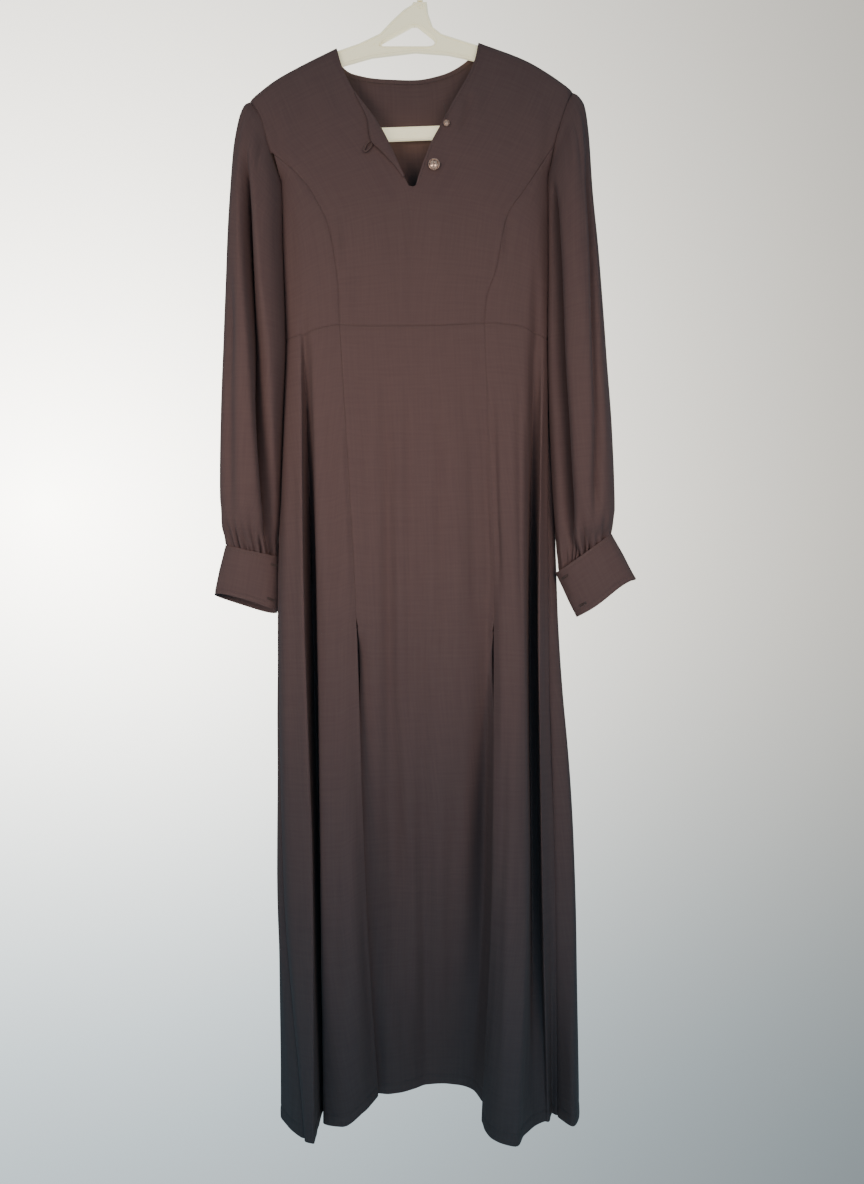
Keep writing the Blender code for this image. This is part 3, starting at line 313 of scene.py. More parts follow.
class SmoothCurve:
    """A curve through knots that never swings past a value."""

    def __init__(self, knots: Sequence[float], values: Sequence[float]) -> None:
        """Work out the slopes.

        Args:
            knots: places, rising.
            values: heights at the places.
        """
        self.knots = np.asarray(knots, float)
        self.values = np.asarray(values, float)
        steps = np.diff(self.knots)
        rises = np.diff(self.values) / steps
        slopes = np.zeros(len(self.knots))
        slopes[0] = rises[0]
        slopes[-1] = rises[-1]
        for index in range(1, len(self.knots) - 1):
            before, after = rises[index - 1], rises[index]
            if before * after > 0.0:
                first = 2.0 * steps[index] + steps[index - 1]
                second = steps[index] + 2.0 * steps[index - 1]
                slopes[index] = (first + second) / (first / before + second / after)
        self.slopes = slopes

    def __call__(self, at: Array | float) -> Array:
        """Heights of the curve at some places."""
        place = np.asarray(at, float)
        index = np.clip(np.searchsorted(self.knots, place, side="left") - 1, 0, len(self.knots) - 2)
        step = self.knots[index + 1] - self.knots[index]
        t = np.clip((place - self.knots[index]) / step, 0.0, 1.0)
        height = (1 + 2 * t) * (1 - t) ** 2 * self.values[index]
        height = height + t * (1 - t) ** 2 * step * self.slopes[index]
        height = height + t * t * (3 - 2 * t) * self.values[index + 1]
        return height + t * t * (t - 1) * step * self.slopes[index + 1]


def run_along(points: Array) -> Array:
    """Running length at each point of a line."""
    steps = np.linalg.norm(np.diff(np.asarray(points, float), axis=0), axis=1)
    return np.concatenate(([0.0], np.cumsum(steps)))


def lengths_along(points: Array) -> Array:
    """Running length at each point of a line, as parts of the whole."""
    run = run_along(points)
    return run / run[-1]


def between(place: float, run: Array, values: Array) -> Array:
    """Values of a line's points at one running length."""
    return np.array([np.interp(place, run, column) for column in values.T])


def unit(ways: Array) -> Array:
    """Directions brought to length one."""
    return ways / np.maximum(np.linalg.norm(ways, axis=-1, keepdims=True), 1e-9)


def circle(sides: int, start: float = 0.0) -> Array:
    """Cosine and sine of directions evenly round, the first one start sides on."""
    angles = 2 * math.pi * (np.arange(sides) + start) / sides
    return np.stack((np.cos(angles), np.sin(angles)), axis=1)


def smooth_line(points: Sequence[Sequence[float]]) -> Reader:
    """A smooth line through points.

    Args:
        points: the points, in any number of axes.

    Returns:
        A reader from parts of the length to points.
    """
    knots = lengths_along(np.asarray(points, float))
    axes = [SmoothCurve(knots, values) for values in zip(*points)]
    return lambda at: np.stack([axis(at) for axis in axes], axis=-1)


def reversed_line(line: Reader) -> Reader:
    """The same line, run the other way."""
    return lambda at: line(1.0 - np.asarray(at, float))


def upward(points: Line) -> Reader:
    """A smooth line through points, run from the last to the first."""
    return reversed_line(smooth_line(points))


def part_of(line: Reader, start: float, end: float) -> Reader:
    """The stretch of a line between two parts of its length."""
    return lambda at: line(start + (end - start) * np.asarray(at, float))


def joined(first: Reader, second: Reader, share: float) -> Reader:
    """Two lines run one after the other; share is where the second one starts."""
    def read(at: Array) -> Array:
        """Points on the joined line."""
        place = np.atleast_1d(np.asarray(at, float))
        low = first(np.clip(place / share, 0.0, 1.0))
        high = second(np.clip((place - share) / (1.0 - share), 0.0, 1.0))
        return np.where((place <= share)[:, None], low, high)

    return read


def curve_of(points: Line, axis: int) -> SmoothCurve:
    """A line's height or side, read by its other coordinate."""
    pairs = sorted((point[axis], point[1 - axis]) for point in points)
    return SmoothCurve([p[0] for p in pairs], [p[1] for p in pairs])


def nearest_share(points: Line, to: tuple[float, float]) -> float:
    """Part of a line's length nearest to a point."""
    shares = np.linspace(0.0, 1.0, 401)
    gaps = np.linalg.norm(smooth_line(points)(shares) - np.asarray(to), axis=1)
    return float(shares[int(np.argmin(gaps))])


def shares_for(length: float, step: float) -> Array:
    """Places along a side, close together at its ends so that a seam can roll.

    Args:
        length: the side's length in millimetres.
        step: usual distance between places.

    Returns:
        Parts from 0 to 1.
    """
    middle = np.linspace(0.0, 1.0, max(3, int(round(length / step)) + 1))
    near = np.array([0.9, 1.9, 3.2]) / length
    clear = 4.6 / length
    inner = middle[(middle > clear) & (middle < 1.0 - clear)]
    return np.concatenate(([0.0], near, inner, 1.0 - near[::-1], [1.0]))


# ---- Creases ----
@dataclass(frozen=True)
class Crease:
    """A soft trough or ridge drawn on the lying cloth, seen from its face.

    A negative depth is a trough.  lean makes one side steeper than the other.
    """

    line: Line
    depth: float
    width: float
    fade: float = 30.0
    lean: float = 0.0
    wave: float = 0.0

    def raised(self, u: Array, v: Array) -> Array:
        """How far the cloth stands proud at each point.

        Args:
            u: points' side, in the line's own terms.
            v: points' height.

        Returns:
            Heights over the lying cloth, in millimetres.
        """
        points = np.asarray(self.line, float)
        best = np.full(u.shape, 1e9)
        signed = np.zeros(u.shape)
        along = np.zeros(u.shape)
        gone = 0.0
        for (ax, ay), (bx, by) in zip(points, points[1:]):
            run = math.hypot(bx - ax, by - ay)
            dx, dy = (bx - ax) / run, (by - ay) / run
            t = np.clip((u - ax) * dx + (v - ay) * dy, 0.0, run)
            ox = u - (ax + dx * t)
            oy = v - (ay + dy * t)
            gap = np.hypot(ox, oy)
            closer = gap < best
            best = np.where(closer, gap, best)
            signed = np.where(closer, ox * -dy + oy * dx, signed)
            along = np.where(closer, gone + t, along)
            gone += run
        wide = self.width * (1.0 + self.lean * np.tanh(signed / self.width))
        height = self.depth * np.exp(-(best / wide) ** 2)
        ends = smoothstep(0.0, self.fade, along) * smoothstep(0.0, self.fade, gone - along)
        if self.wave:
            ends = ends * (0.5 + 0.5 * np.cos(2 * math.pi * along / self.wave + 1.3 * np.sin(along / 17.0)))
        return height * ends


def ripple(u: Array, v: Array, wide: float, tall: float, seed: int) -> Array:
    """Soft uneven ripples, longer than they are wide, from -1 to 1.

    Args:
        u: points' side in millimetres.
        v: points' height in millimetres.
        wide: width of a ripple.
        tall: length of a ripple.
        seed: which set of ripples.

    Returns:
        The ripples' height.
    """
    chance = np.random.default_rng(seed).uniform(-1.0, 1.0, (64, 64))
    a, b = u / wide, v / tall
    i, j = np.floor(a).astype(int), np.floor(b).astype(int)
    s, t = smoothstep(0.0, 1.0, a - i), smoothstep(0.0, 1.0, b - j)
    low = chance[i % 64, j % 64] * (1 - s) + chance[(i + 1) % 64, j % 64] * s
    high = chance[i % 64, (j + 1) % 64] * (1 - s) + chance[(i + 1) % 64, (j + 1) % 64] * s
    return low * (1 - t) + high * t


def ripples(u: Array, v: Array, seed: int, *sets: Triple) -> Array:
    """Sets of ripples together, each with its height, width and length."""
    total = np.zeros(u.shape)
    for number, (high, wide, tall) in enumerate(sets):
        total = total + high * ripple(u, v, wide, tall, seed + number)
    return total


def creases(*rows: tuple[float, ...]) -> tuple[Crease, ...]:
    """Creases from rows: side and height of three points, then depth, width, fade, lean and wave."""
    return tuple(Crease(((a, b), (c, d), (e, f)), *rest) for a, b, c, d, e, f, *rest in rows)


def raised_by(lines: Sequence[Crease], u: Array, v: Array) -> Array:
    """All the creases' heights together."""
    return sum((crease.raised(u, v) for crease in lines), np.zeros(u.shape))


# ---- Cloth ----
@dataclass
class ClothGrid:
    """A patch of cloth: rows of points in millimetres, and where each lies on the flat cloth."""

    points: Array
    closed: bool = False
    grain: Array = field(default_factory=lambda: np.zeros(0))

    def __post_init__(self) -> None:
        """Lay the patch out flat by its own lengths, unless its grain is given."""
        if self.grain.size:
            return
        across = np.linalg.norm(np.diff(self.points, axis=1), axis=2)
        down = np.linalg.norm(np.diff(self.points, axis=0), axis=2)
        across = np.concatenate((np.zeros((across.shape[0], 1)), np.cumsum(across, axis=1)), axis=1)
        down = np.concatenate((np.zeros((1, down.shape[1])), np.cumsum(down, axis=0)), axis=0)
        down = down.mean(axis=1, keepdims=True) + 0 * down
        self.grain = np.stack((across - across[:, -1:] / 2, down), axis=-1)

    def normals(self, face: Face | None = None) -> Array:
        """Unit directions off the cloth.

        Args:
            face: which way the patch as a whole faces, or None to keep the grid's own way.

        Returns:
            One direction for each point.
        """
        if self.closed:
            side = np.roll(self.points, -1, axis=1) - np.roll(self.points, 1, axis=1)
        else:
            side = np.gradient(self.points, axis=1)
        normal = unit(np.cross(side, np.gradient(self.points, axis=0)))
        return -normal if face is not None and normal[..., 1].mean() * face.value < 0 else normal

    def lifted(self, height: Array, face: Face | None = None) -> "ClothGrid":
        """The patch with its points moved off along their own directions."""
        return ClothGrid(self.points + self.normals(face) * height[..., None], self.closed, self.grain)

    def drawn_in(self, low: float, high: float, west: float, east: float) -> "ClothGrid":
        """The patch with its sides drawn in a little, which leaves the seam gaps."""
        points = self.points.copy()
        for edge, beside, distance in ((np.s_[:, 0], np.s_[:, 1], west), (np.s_[:, -1], np.s_[:, -2], east),
                                       (0, 1, low), (-1, -2, high)):
            points[edge] += unit(points[beside] - points[edge]) * distance
        return ClothGrid(points, self.closed, self.grain)

    def edge_gap(self, low: bool, high: bool, west: bool, east: bool) -> Array:
        """Distance of each point from the nearest of the named sides."""
        across = np.abs(self.grain[..., 0] - self.grain[:, :1, 0])
        down = self.grain[..., 1]
        gap = np.full(down.shape, 1e6)
        for named, other in ((west, across), (east, across[:, -1:] - across), (low, down - down[:1]),
                             (high, down[-1:] - down)):
            if named:
                gap = np.minimum(gap, other)
        return gap

    def round_points(self) -> Array:
        """The points, with a closed patch's first column again after its last."""
        return np.concatenate((self.points, self.points[:, :1]), axis=1) if self.closed else self.points

    def area(self) -> float:
        """Area of the patch in square metres."""
        p = self.round_points()
        first = np.cross(p[1:, :-1] - p[:-1, :-1], p[:-1, 1:] - p[:-1, :-1])
        second = np.cross(p[1:, :-1] - p[1:, 1:], p[:-1, 1:] - p[1:, 1:])
        halves = np.linalg.norm(first, axis=2) + np.linalg.norm(second, axis=2)
        return float(halves.sum() / 2) * MM * MM

    def flat_size(self) -> tuple[float, float]:
        """Greatest width and length of the patch in metres."""
        p = self.round_points()
        width = np.linalg.norm(np.diff(p, axis=1), axis=2).sum(axis=1).max()
        length = np.linalg.norm(np.diff(p, axis=0), axis=2).sum(axis=0).max()
        return float(width) * MM, float(length) * MM


def net_faces(base: int, rows: int, columns: int, closed: bool = False, again: bool = False,
              over: bool = False) -> Array:
    """Faces of a net of points that are numbered row by row.

    Args:
        base: number of the net's first point.
        rows, columns: how many there are.
        closed: whether the last column meets the first.
        again: whether the last row meets the first.
        over: whether the faces turn over.

    Returns:
        Four point numbers for each face.
    """
    index = np.arange(rows * columns).reshape(rows, columns) + base
    if again:
        index = np.concatenate((index, index[:1]))
    if closed:
        index = np.concatenate((index, index[:, :1]), axis=1)
    quads = np.stack((index[:-1, :-1], index[:-1, 1:], index[1:, 1:], index[1:, :-1]), axis=-1).reshape(-1, 4)
    return quads[:, ::-1] if over else quads


def rod_faces(base: int, rings: int, sides: int) -> list[Sequence[int]]:
    """Faces of a rod through rings of points, with both its ends."""
    last = base + (rings - 1) * sides
    ends = (range(base + sides - 1, base - 1, -1), range(last, last + sides))
    return [*net_faces(base, rings, sides, closed=True), *ends]


@dataclass
class SewingRoom:
    """Turns patches and rows of points into dressed pieces that ride on the part."""

    cloth: Material
    cloth_plain: Material
    thread: Material
    wall: float = 1.1
    weld: float = 0.03
    stitch_sides: int = 6
    stitch_rings: tuple[Triple, ...] = ((0.0, 0.25, -0.12), (0.16, 1.0, 0.06), (0.5, 1.0, 0.16),
                                        (0.84, 1.0, 0.06), (1.0, 0.25, -0.12))

    def keep(self, item: Piece, replaces: Sequence[str] = ()) -> Piece:
        """Make a piece ride on the part.

        Args:
            item: the piece.
            replaces: the solids it stands for.

        Returns:
            The piece.
        """
        bpy.context.scene.collection.objects.link(item)
        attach(item, "root")
        if replaces:
            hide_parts(*replaces)
        LOG.info("%s: %d faces", item.name, len(item.data.polygons))
        return item

    def piece(self, name: str, grids: Sequence[tuple[ClothGrid, bool]], nodes: Sequence[str],
              held: str = "hung", wall: float | None = None, with_pieces: Sequence[Piece] = ()) -> None:
        """Sew patches into one piece of cloth.

        Args:
            name: the piece's name.
            grids: patches, each with whether its faces turn over.
            nodes: the solids it stands for.
            held: how the cloth is held; not used.
            wall: thickness of the cloth, where it isn't the usual one.
            with_pieces: the stitching that lies on it; not used.
        """
        points, lay, faces = [], [], []
        base = 0
        for grid, over in grids:
            rows, columns = grid.points.shape[:2]
            faces.append(net_faces(base, rows, columns, closed=grid.closed, over=over))
            points.append(grid.points.reshape(-1, 3))
            lay.append(grid.grain.reshape(-1, 2))
            base += rows * columns
        every = np.concatenate(faces)
        mesh = bpy.data.meshes.new(name)
        mesh.from_pydata((np.concatenate(points) * MM).tolist(), [], every.tolist())
        grain = mesh.uv_layers.new(name="grain")
        grain.data.foreach_set("uv", (np.concatenate(lay)[every.reshape(-1)] * MM).reshape(-1))
        work = bmesh.new()
        work.from_mesh(mesh)
        bmesh.ops.remove_doubles(work, verts=work.verts, dist=self.weld * MM)
        bmesh.ops.recalc_face_normals(work, faces=work.faces)
        work.to_mesh(mesh)
        work.free()
        mesh.shade_smooth()
        mesh.materials.append(self.cloth)
        item = bpy.data.objects.new(name, mesh)
        shell = item.modifiers.new("cloth wall", "SOLIDIFY")
        shell.thickness = (wall or self.wall) * MM
        shell.offset = 0.0
        self.keep(item, nodes)
        area = sum(grid.area() for grid, _ in grids)
        width, length = (max(sizes) for sizes in zip(*(grid.flat_size() for grid, _ in grids)))
        if len(grids) > 1 or area > width * length:
            width = max(width, area / length * 1.02)

    def stitches(self, name: str, points: Array, out: Array, stitch: float, gap: float,
                 thick: float) -> Piece:
        """A row of machine stitches lying on the cloth.

        Args:
            name: the row's name.
            points: the line on the middle of the cloth, in millimetres.
            out: directions off the cloth at the points.
            stitch: length of a stitch.
            gap: distance between stitches.
            thick: thickness of the thread.

        Returns:
            The row as one piece.
        """
        run = run_along(points)
        verts, faces = [], []
        at = gap
        while at + stitch < run[-1]:
            faces += rod_faces(len(verts), len(self.stitch_rings), self.stitch_sides)
            start, end = (between(place, run, points) for place in (at, at + stitch))
            off = unit(between(at + stitch / 2, run, out))
            round_it = circle(self.stitch_sides) @ np.stack((np.cross(unit(end - start), off), off))
            for share, full, lift in self.stitch_rings:
                here = start + (end - start) * share + off * (self.wall / 2 + lift)
                verts.extend(here + round_it * thick / 2 * full)
            at += stitch + gap
        return self.solid(name, verts, faces, self.thread, Slot.CLOTH)

    def solid(self, name: str, points: Sequence[Sequence[float]], faces: Sequence[Sequence[int]],
              material: Material, slot: Slot, replaces: Sequence[str] = ()) -> Piece:
        """A hard piece from points in millimetres and faces."""
        mesh = bpy.data.meshes.new(name)
        flat = [tuple(int(corner) for corner in face) for face in faces]
        mesh.from_pydata((np.asarray(points, float) * MM).tolist(), [], flat)
        mesh.shade_smooth()
        mesh.materials.append(material)
        return self.keep(bpy.data.objects.new(name, mesh), replaces)


# ---- The hanging form ----
@dataclass
class BodyForm:
    """Seam lines seen from the front, as x and z, and the depth of the hanging bodice."""

    shoulder_left: Line = ((-212, -202), (-180, -177), (-150, -160), (-104, -137))
    shoulder_right: Line = ((190, -190), (162, -170), (133, -153), (73, -130))
    armhole_left: Line = ((-212, -202), (-197, -229), (-188, -262), (-173, -302))
    armhole_right: Line = ((190, -190), (181, -214), (169, -252), (160, -294))
    princess_left: Line = ((-181, -272), (-146, -305), (-126, -335), (-112, -367), (-105, -403),
                           (-100, -447), (-99, -486))
    princess_right: Line = ((166, -262), (130, -318), (108, -352), (100, -388), (95, -415),
                            (82, -455), (79.5, -484))
    side_seam_left: Line = ((-173, -302), (-171, -400), (-168, -501))
    side_seam_right: Line = ((160, -294), (160, -400), (160, -500))
    neck_front_left: Line = ((-104, -137), (-98, -159), (-87, -185), (-49, -240), (-37, -263),
                             (-25, -289.5), (-15.2, -311.5), (-14.2, -313.8), (-13.2, -315))
    neck_front_right: Line = ((73, -130), (69, -151), (56, -182), (44, -203), (26, -237), (13, -262),
                              (-0.5, -299), (-4.2, -311.5), (-4.8, -314.2), (-5.8, -315.3))
    neck_back: Line = ((-104, -137), (-98, -153), (-86, -162), (-41, -169), (-8, -170),
                       (26, -164), (60, -146), (73, -130))
    empire: Line = ((-168, -501), (-145, -497), (-119, -489), (-99, -486), (-65, -487.5), (15, -487),
                    (60, -485), (86, -484), (109, -485.5), (126, -488), (142, -494), (160, -500))
    slit_x: float = -9.5
    shoulder_round: float = 7.5
    front_growth: float = 12.0
    back_growth: float = 11.0
    growth_length: float = 110.0
    bust_z: float = -372.0
    bust_fullness: float = 5.0
    edge_round: float = 36.0
    tip_round: float = 9.0
    armhole_half_depth: float = 11.0
    bust_tall: float = 70.0
    side_folds: tuple[tuple[float, ...], ...] = ((7.0, -480, -380, 144.5, 6.5), (5.0, -500, -455, -143, 5.5))
    blade_fullness: float = 3.0
    underarm_y: float = 0.0
    underarm_clear: float = 1.3
    waist_side_y: float = 6.0

    def __post_init__(self) -> None:
        """Read the lines once."""
        self.shoulders = (curve_of(self.shoulder_left, 0), curve_of(self.shoulder_right, 0))
        self.empire_curve = curve_of(self.empire, 0)
        self.sides = ((self.armhole_left, self.side_seam_left, 1.0),
                      (self.armhole_right, self.side_seam_right, -1.0))
        self.edges = tuple((curve_of(armhole, 1), curve_of(seam, 1)) for armhole, seam, _ in self.sides)

    def shoulder_height(self, x: Array) -> Array:
        """Height of the shoulder line, carried straight across the neck."""
        left, right = self.shoulder_left[-1], self.shoulder_right[-1]
        part = (x - left[0]) / (right[0] - left[0])
        middle = left[1] + part * (right[1] - left[1])
        beside = np.where(x > right[0], self.shoulders[1](x), middle)
        return np.where(x < left[0], self.shoulders[0](x), beside)

    def edge_of(self, which: int, z: Array) -> Array:
        """Side of the body at a height: the armhole above, the side seam below."""
        armhole, seam = self.edges[which]
        return np.where(z > self.sides[which][1][0][1], armhole(z), seam(z))

    def edge_depth(self, which: int, z: Array, side: Array | float) -> Array:
        """Depth of that edge; side is -1 in front and +1 behind."""
        armhole, seam, _ = self.sides[which]
        top, bottom = armhole[0][1], seam[0][1]
        low = np.clip((bottom - z) / (bottom - seam[-1][1]), 0.0, 1.0)
        high = np.clip((top - z) / (top - bottom), 0.0, 1.0)
        under = self.underarm_y + low * (self.waist_side_y - self.underarm_y)
        over = high * self.underarm_y + side * self.armhole_half_depth * np.sin(math.pi * high) ** 0.75
        return np.where(z < bottom, under, over)

    @staticmethod
    def quarter_round(part: Array) -> Array:
        """Quarter of a circle: 0 at 0, level at 1."""
        part = np.clip(part, 0.0, 1.0)
        return np.sqrt(np.maximum(0.0, 1.0 - (1.0 - part) ** 2))

    def depth(self, x: Array, z: Array, face: Face) -> Array:
        """Depth of the hanging bodice's cloth.

        Args:
            x: points' side.
            z: points' height.
            face: front or back.

        Returns:
            The points' y.
        """
        x, z = np.asarray(x, float), np.asarray(z, float)
        below = np.maximum(0.0, self.shoulder_height(x) - z)
        growth = self.front_growth if face is Face.FRONT else self.back_growth
        inner = self.shoulder_round * self.quarter_round(below / self.shoulder_round)
        inner = inner + growth * (1.0 - np.exp(-below / self.growth_length))
        if face is Face.FRONT:
            swell = np.exp(-((z - self.bust_z) / self.bust_tall) ** 2)
            sides = 0.6 + 0.4 * np.exp(-((np.abs(x + 10) - 75) / 45) ** 2)
            inner = inner + self.bust_fullness * swell * sides
            # the skirt's side folds begin above the empire seam
            for deep, foot, head, middle, wide in self.side_folds:
                inner = inner - deep * (1 - smoothstep(foot, head, z)) * np.exp(-((x - middle) / wide) ** 2)
        else:
            inner = inner + self.blade_fullness * (1 - smoothstep(-490, -330, z))
        depth = face.value * inner
        for which, (armhole, seam, sign) in enumerate(self.sides):
            inside = (x - self.edge_of(which, z)) * sign
            down = np.clip((armhole[0][1] - z) / (armhole[0][1] - seam[0][1]), 0.0, 1.0)
            reach = self.tip_round + (self.edge_round - self.tip_round) * down
            rim = self.edge_depth(which, z, face.value)
            depth = np.where(inside < reach, rim + (depth - rim) * self.quarter_round(inside / reach), depth)
        return depth

    def armhole_gap(self, x: Array, z: Array) -> Array:
        """Distance of points from the nearer side edge."""
        return np.minimum(np.abs(x - self.edge_of(0, z)), np.abs(x - self.edge_of(1, z)))


def coons(bottom: Reader, right: Reader, top: Reader, left: Reader, across: Array,
          up: Array) -> Array:
    """Points of a patch inside four lines.

    Args:
        bottom, right, top, left: the lines round the patch.
        across: parts of the bottom and the top.
        up: parts of the sides.

    Returns:
        Rows of x and z.
    """
    low, high = bottom(across)[None], top(across)[None]
    west, east = left(up)[:, None], right(up)[:, None]
    u, v = across[None, :, None], up[:, None, None]
    ruled = (1 - v) * low + v * high + (1 - u) * west + u * east
    mixed = (1 - u) * (1 - v) * low[:, :1] + u * (1 - v) * low[:, -1:]
    return ruled - mixed - (1 - u) * v * high[:, :1] - u * v * high[:, -1:]


def straight_out(count: int) -> Array:
    """The direction towards the viewer, once for each point."""
    return np.tile(np.array([0.0, -1.0, 0.0]), (count, 1))


@dataclass
class Bodice:
    """The bodice: a middle front with the neck, two side fronts and the back."""

    form: BodyForm
    room: SewingRoom
    step: float = 3.6
    seam_gap: float = 0.12
    armhole_gap: float = 0.2
    empire_gap: float = 0.1
    shoulder_gap: float = 0.2
    slit_share: float = 0.455
    join_share: float = 0.76
    armpit_share: float = 0.645
    roll: float = 0.75
    roll_wide: float = 3.2
    slit_top: float = -316.0
    back_neck: tuple[float, float] = (0.28, 0.72)
    front_creases: tuple[Crease, ...] = creases(
        (-184, -222, -176, -262, -170, -290, -2.4, 6, 22, 0.3),
        (-165, -215, -160, -262, -158, -300, 1.6, 8, 30),
        (-140, -190, -128, -250, -120, -330, -1.3, 16, 50),
        (-106, -350, -104, -372, -102, -402, 2, 5.5, 16),
        (-94, -366, -91, -398, -90, -424, -1.5, 5, 18),
        (-80, -300, -74, -400, -70, -486, -1, 13, 60),
        (-44, -330, -40, -420, -38, -487, 0.9, 12, 50),
        (-10, -318, -9, -400, -6, -487, -1.1, 9, 34, 0.3),
        (22, -310, 26, -400, 28, -487, 1, 14, 55),
        (52, -300, 58, -400, 62, -486, -1, 12, 60),
        (62, -192, 59, -216, 51, -250, -3.6, 4.2, 16, 0.3),
        (51, -200, 49, -222, 43, -246, 1.6, 4, 14),
        (72, -188, 69, -216, 62, -250, 1.5, 6, 22),
        (30, -246, 36, -268, 40, -300, -1, 6, 20),
        (102, -352, 100, -376, 97, -404, 2.2, 5, 14),
        (113, -352, 108, -390, 101, -424, -1.7, 5, 20),
        (120, -200, 126, -260, 124, -330, -1.3, 14, 50),
        (168, -205, 160, -250, 152, -300, -2.2, 6, 24, -0.3),
        (148, -190, 150, -240, 146, -300, 1.6, 9, 36),
        (-70, -180, -60, -215, -54, -246, -1.2, 6, 22),
        (-118, -150, -104, -190, -92, -240, -1.1, 9, 30),
        (92, -150, 86, -196, 78, -250, -1.1, 9, 34),
        (-160, -330, -156, -400, -152, -495, -1.6, 8, 40),
        (-134, -380, -130, -440, -128, -490, 1.2, 8, 40),
        (128, -380, 126, -440, 124, -488, -1.6, 7, 36),
        (150, -330, 151, -400, 152, -496, 1.2, 7, 40),
    )
    back_creases: tuple[Crease, ...] = creases(
        (-170, -225, -158, -290, -150, -380, -2.4, 9, 40, 0.3),
        (152, -215, 144, -280, 138, -370, -2.4, 9, 40, -0.3),
        (-120, -300, -116, -400, -112, -490, -1.6, 12, 60),
        (-88, -240, -84, -380, -84, -488, 1.5, 12, 70),
        (-52, -280, -52, -400, -56, -488, -1.5, 10, 60),
        (-16, -200, -14, -330, -14, -487, 1.2, 13, 60),
        (18, -300, 16, -400, 12, -487, -1.5, 9, 60),
        (52, -240, 50, -360, 48, -486, 1.5, 12, 60),
        (84, -300, 86, -400, 86, -485, -1.6, 11, 60),
        (120, -250, 116, -370, 112, -486, 1.6, 13, 60),
        (-66, -172, -58, -200, -52, -250, -1.2, 7, 26),
        (30, -168, 30, -205, 26, -260, -1.2, 7, 28),
    )

    def relief(self, x: Array, z: Array, face: Face) -> Array:
        """Heights of the bodice's creases, ripples and seam puckers at points."""
        form = self.form
        front = face is Face.FRONT
        height = raised_by(self.front_creases if front else self.back_creases, x, z)
        seed = 3 if front else 5
        height = height + ripples(x + 700, z + 2000, seed, (0.55, 26.0, 95.0), (0.3, 12.0, 40.0))
        puckers = [(form.empire, -0.5, 5.0, 14.0)]
        if front:
            puckers += [(form.princess_left, -0.8, 5.5, 12.5), (form.princess_right, -0.8, 5.5, 13.5)]
        for line, deep, wide, wave in puckers:
            height = height + Crease(line, deep, wide, 10.0, 0.0, wave).raised(x, z)
        height = height * smoothstep(1.0, 16.0, form.armhole_gap(x, z))
        return height * smoothstep(1.0, 9.0, form.shoulder_height(x) - z)

    def patch(self, flat: Array, face: Face) -> ClothGrid:
        """Lift flat points to the cloth's depth, with its creases.

        Args:
            flat: rows of x and z.
            face: front or back.

        Returns:
            The patch.
        """
        x, z = flat[..., 0], flat[..., 1]
        y = self.form.depth(x, z, face) + face.value * self.relief(x, z, face)
        return ClothGrid(np.stack((x, y, z), axis=-1))

    def rolled(self, grid: ClothGrid, face: Face, low: bool, high: bool, west: bool, east: bool) -> ClothGrid:
        """Turn the cloth in where it runs into a seam."""
        gap = grid.edge_gap(low, high, west, east)
        dip = self.roll * np.clip(1.0 - gap / self.roll_wide, 0.0, 1.0) ** 2
        points = grid.points.copy()
        points[..., 1] -= face.value * dip
        return ClothGrid(points, grid.closed, grid.grain)

    def up_shares(self) -> Array:
        """Rows of the middle front, from the empire seam to the shoulder."""
        low = np.linspace(0.0, self.slit_share, 44)
        middle = np.linspace(self.slit_share, self.join_share, 30)
        high = np.linspace(self.join_share, 1.0, 26)
        near = np.array([0.002, 0.005, 0.992, 0.996])
        return np.unique(np.round(np.concatenate((low, middle, high, near)), 5))

    def build_front_centre(self) -> None:
        """The middle front, with the neck and its slit."""
        form = self.form
        slit = (form.slit_x, self.slit_top)
        up = self.up_shares()
        across = shares_for(100.0, self.step)
        grids = []
        halves = ((form.princess_left, form.armhole_left, form.shoulder_left, form.neck_front_left, False),
                  (form.princess_right, form.armhole_right, form.shoulder_right, form.neck_front_right, True))
        for princess, armhole, shoulder, neck, over in halves:
            share = nearest_share(armhole, princess[0])
            above = reversed_line(part_of(smooth_line(armhole), 0.0, share))
            outer = joined(upward(princess), above, self.join_share)
            foot = float(form.empire_curve(form.slit_x))
            below = smooth_line(((form.slit_x, foot), slit))
            inner = joined(below, upward(neck + (slit,)), self.slit_share)
            bottom = self.empire_line(princess[-1][0], form.slit_x)
            flat = coons(bottom, inner, smooth_line(shoulder), outer, across, up)
            grid = self.rolled(self.patch(flat, Face.FRONT), Face.FRONT, True, True, True, False)
            grid = grid.drawn_in(self.empire_gap, self.shoulder_gap / 2, self.seam_gap / 2, 0.0)
            high = up > self.join_share + 0.01
            way = unit(grid.points[high, 1] - grid.points[high, 0])
            grid.points[high, 0] += way * (self.armhole_gap - self.seam_gap) / 2
            grids.append((grid, over))
        self.room.piece("crepe_bodice_front_middle", grids, ("bodice_front_centre",))

    def empire_line(self, start: float, end: float) -> Reader:
        """The empire seam between two sides."""
        def read(at: Array) -> Array:
            """Points along the seam."""
            x = start + (end - start) * np.asarray(at, float)
            return np.stack((x, self.form.empire_curve(x)), axis=-1)

        return read

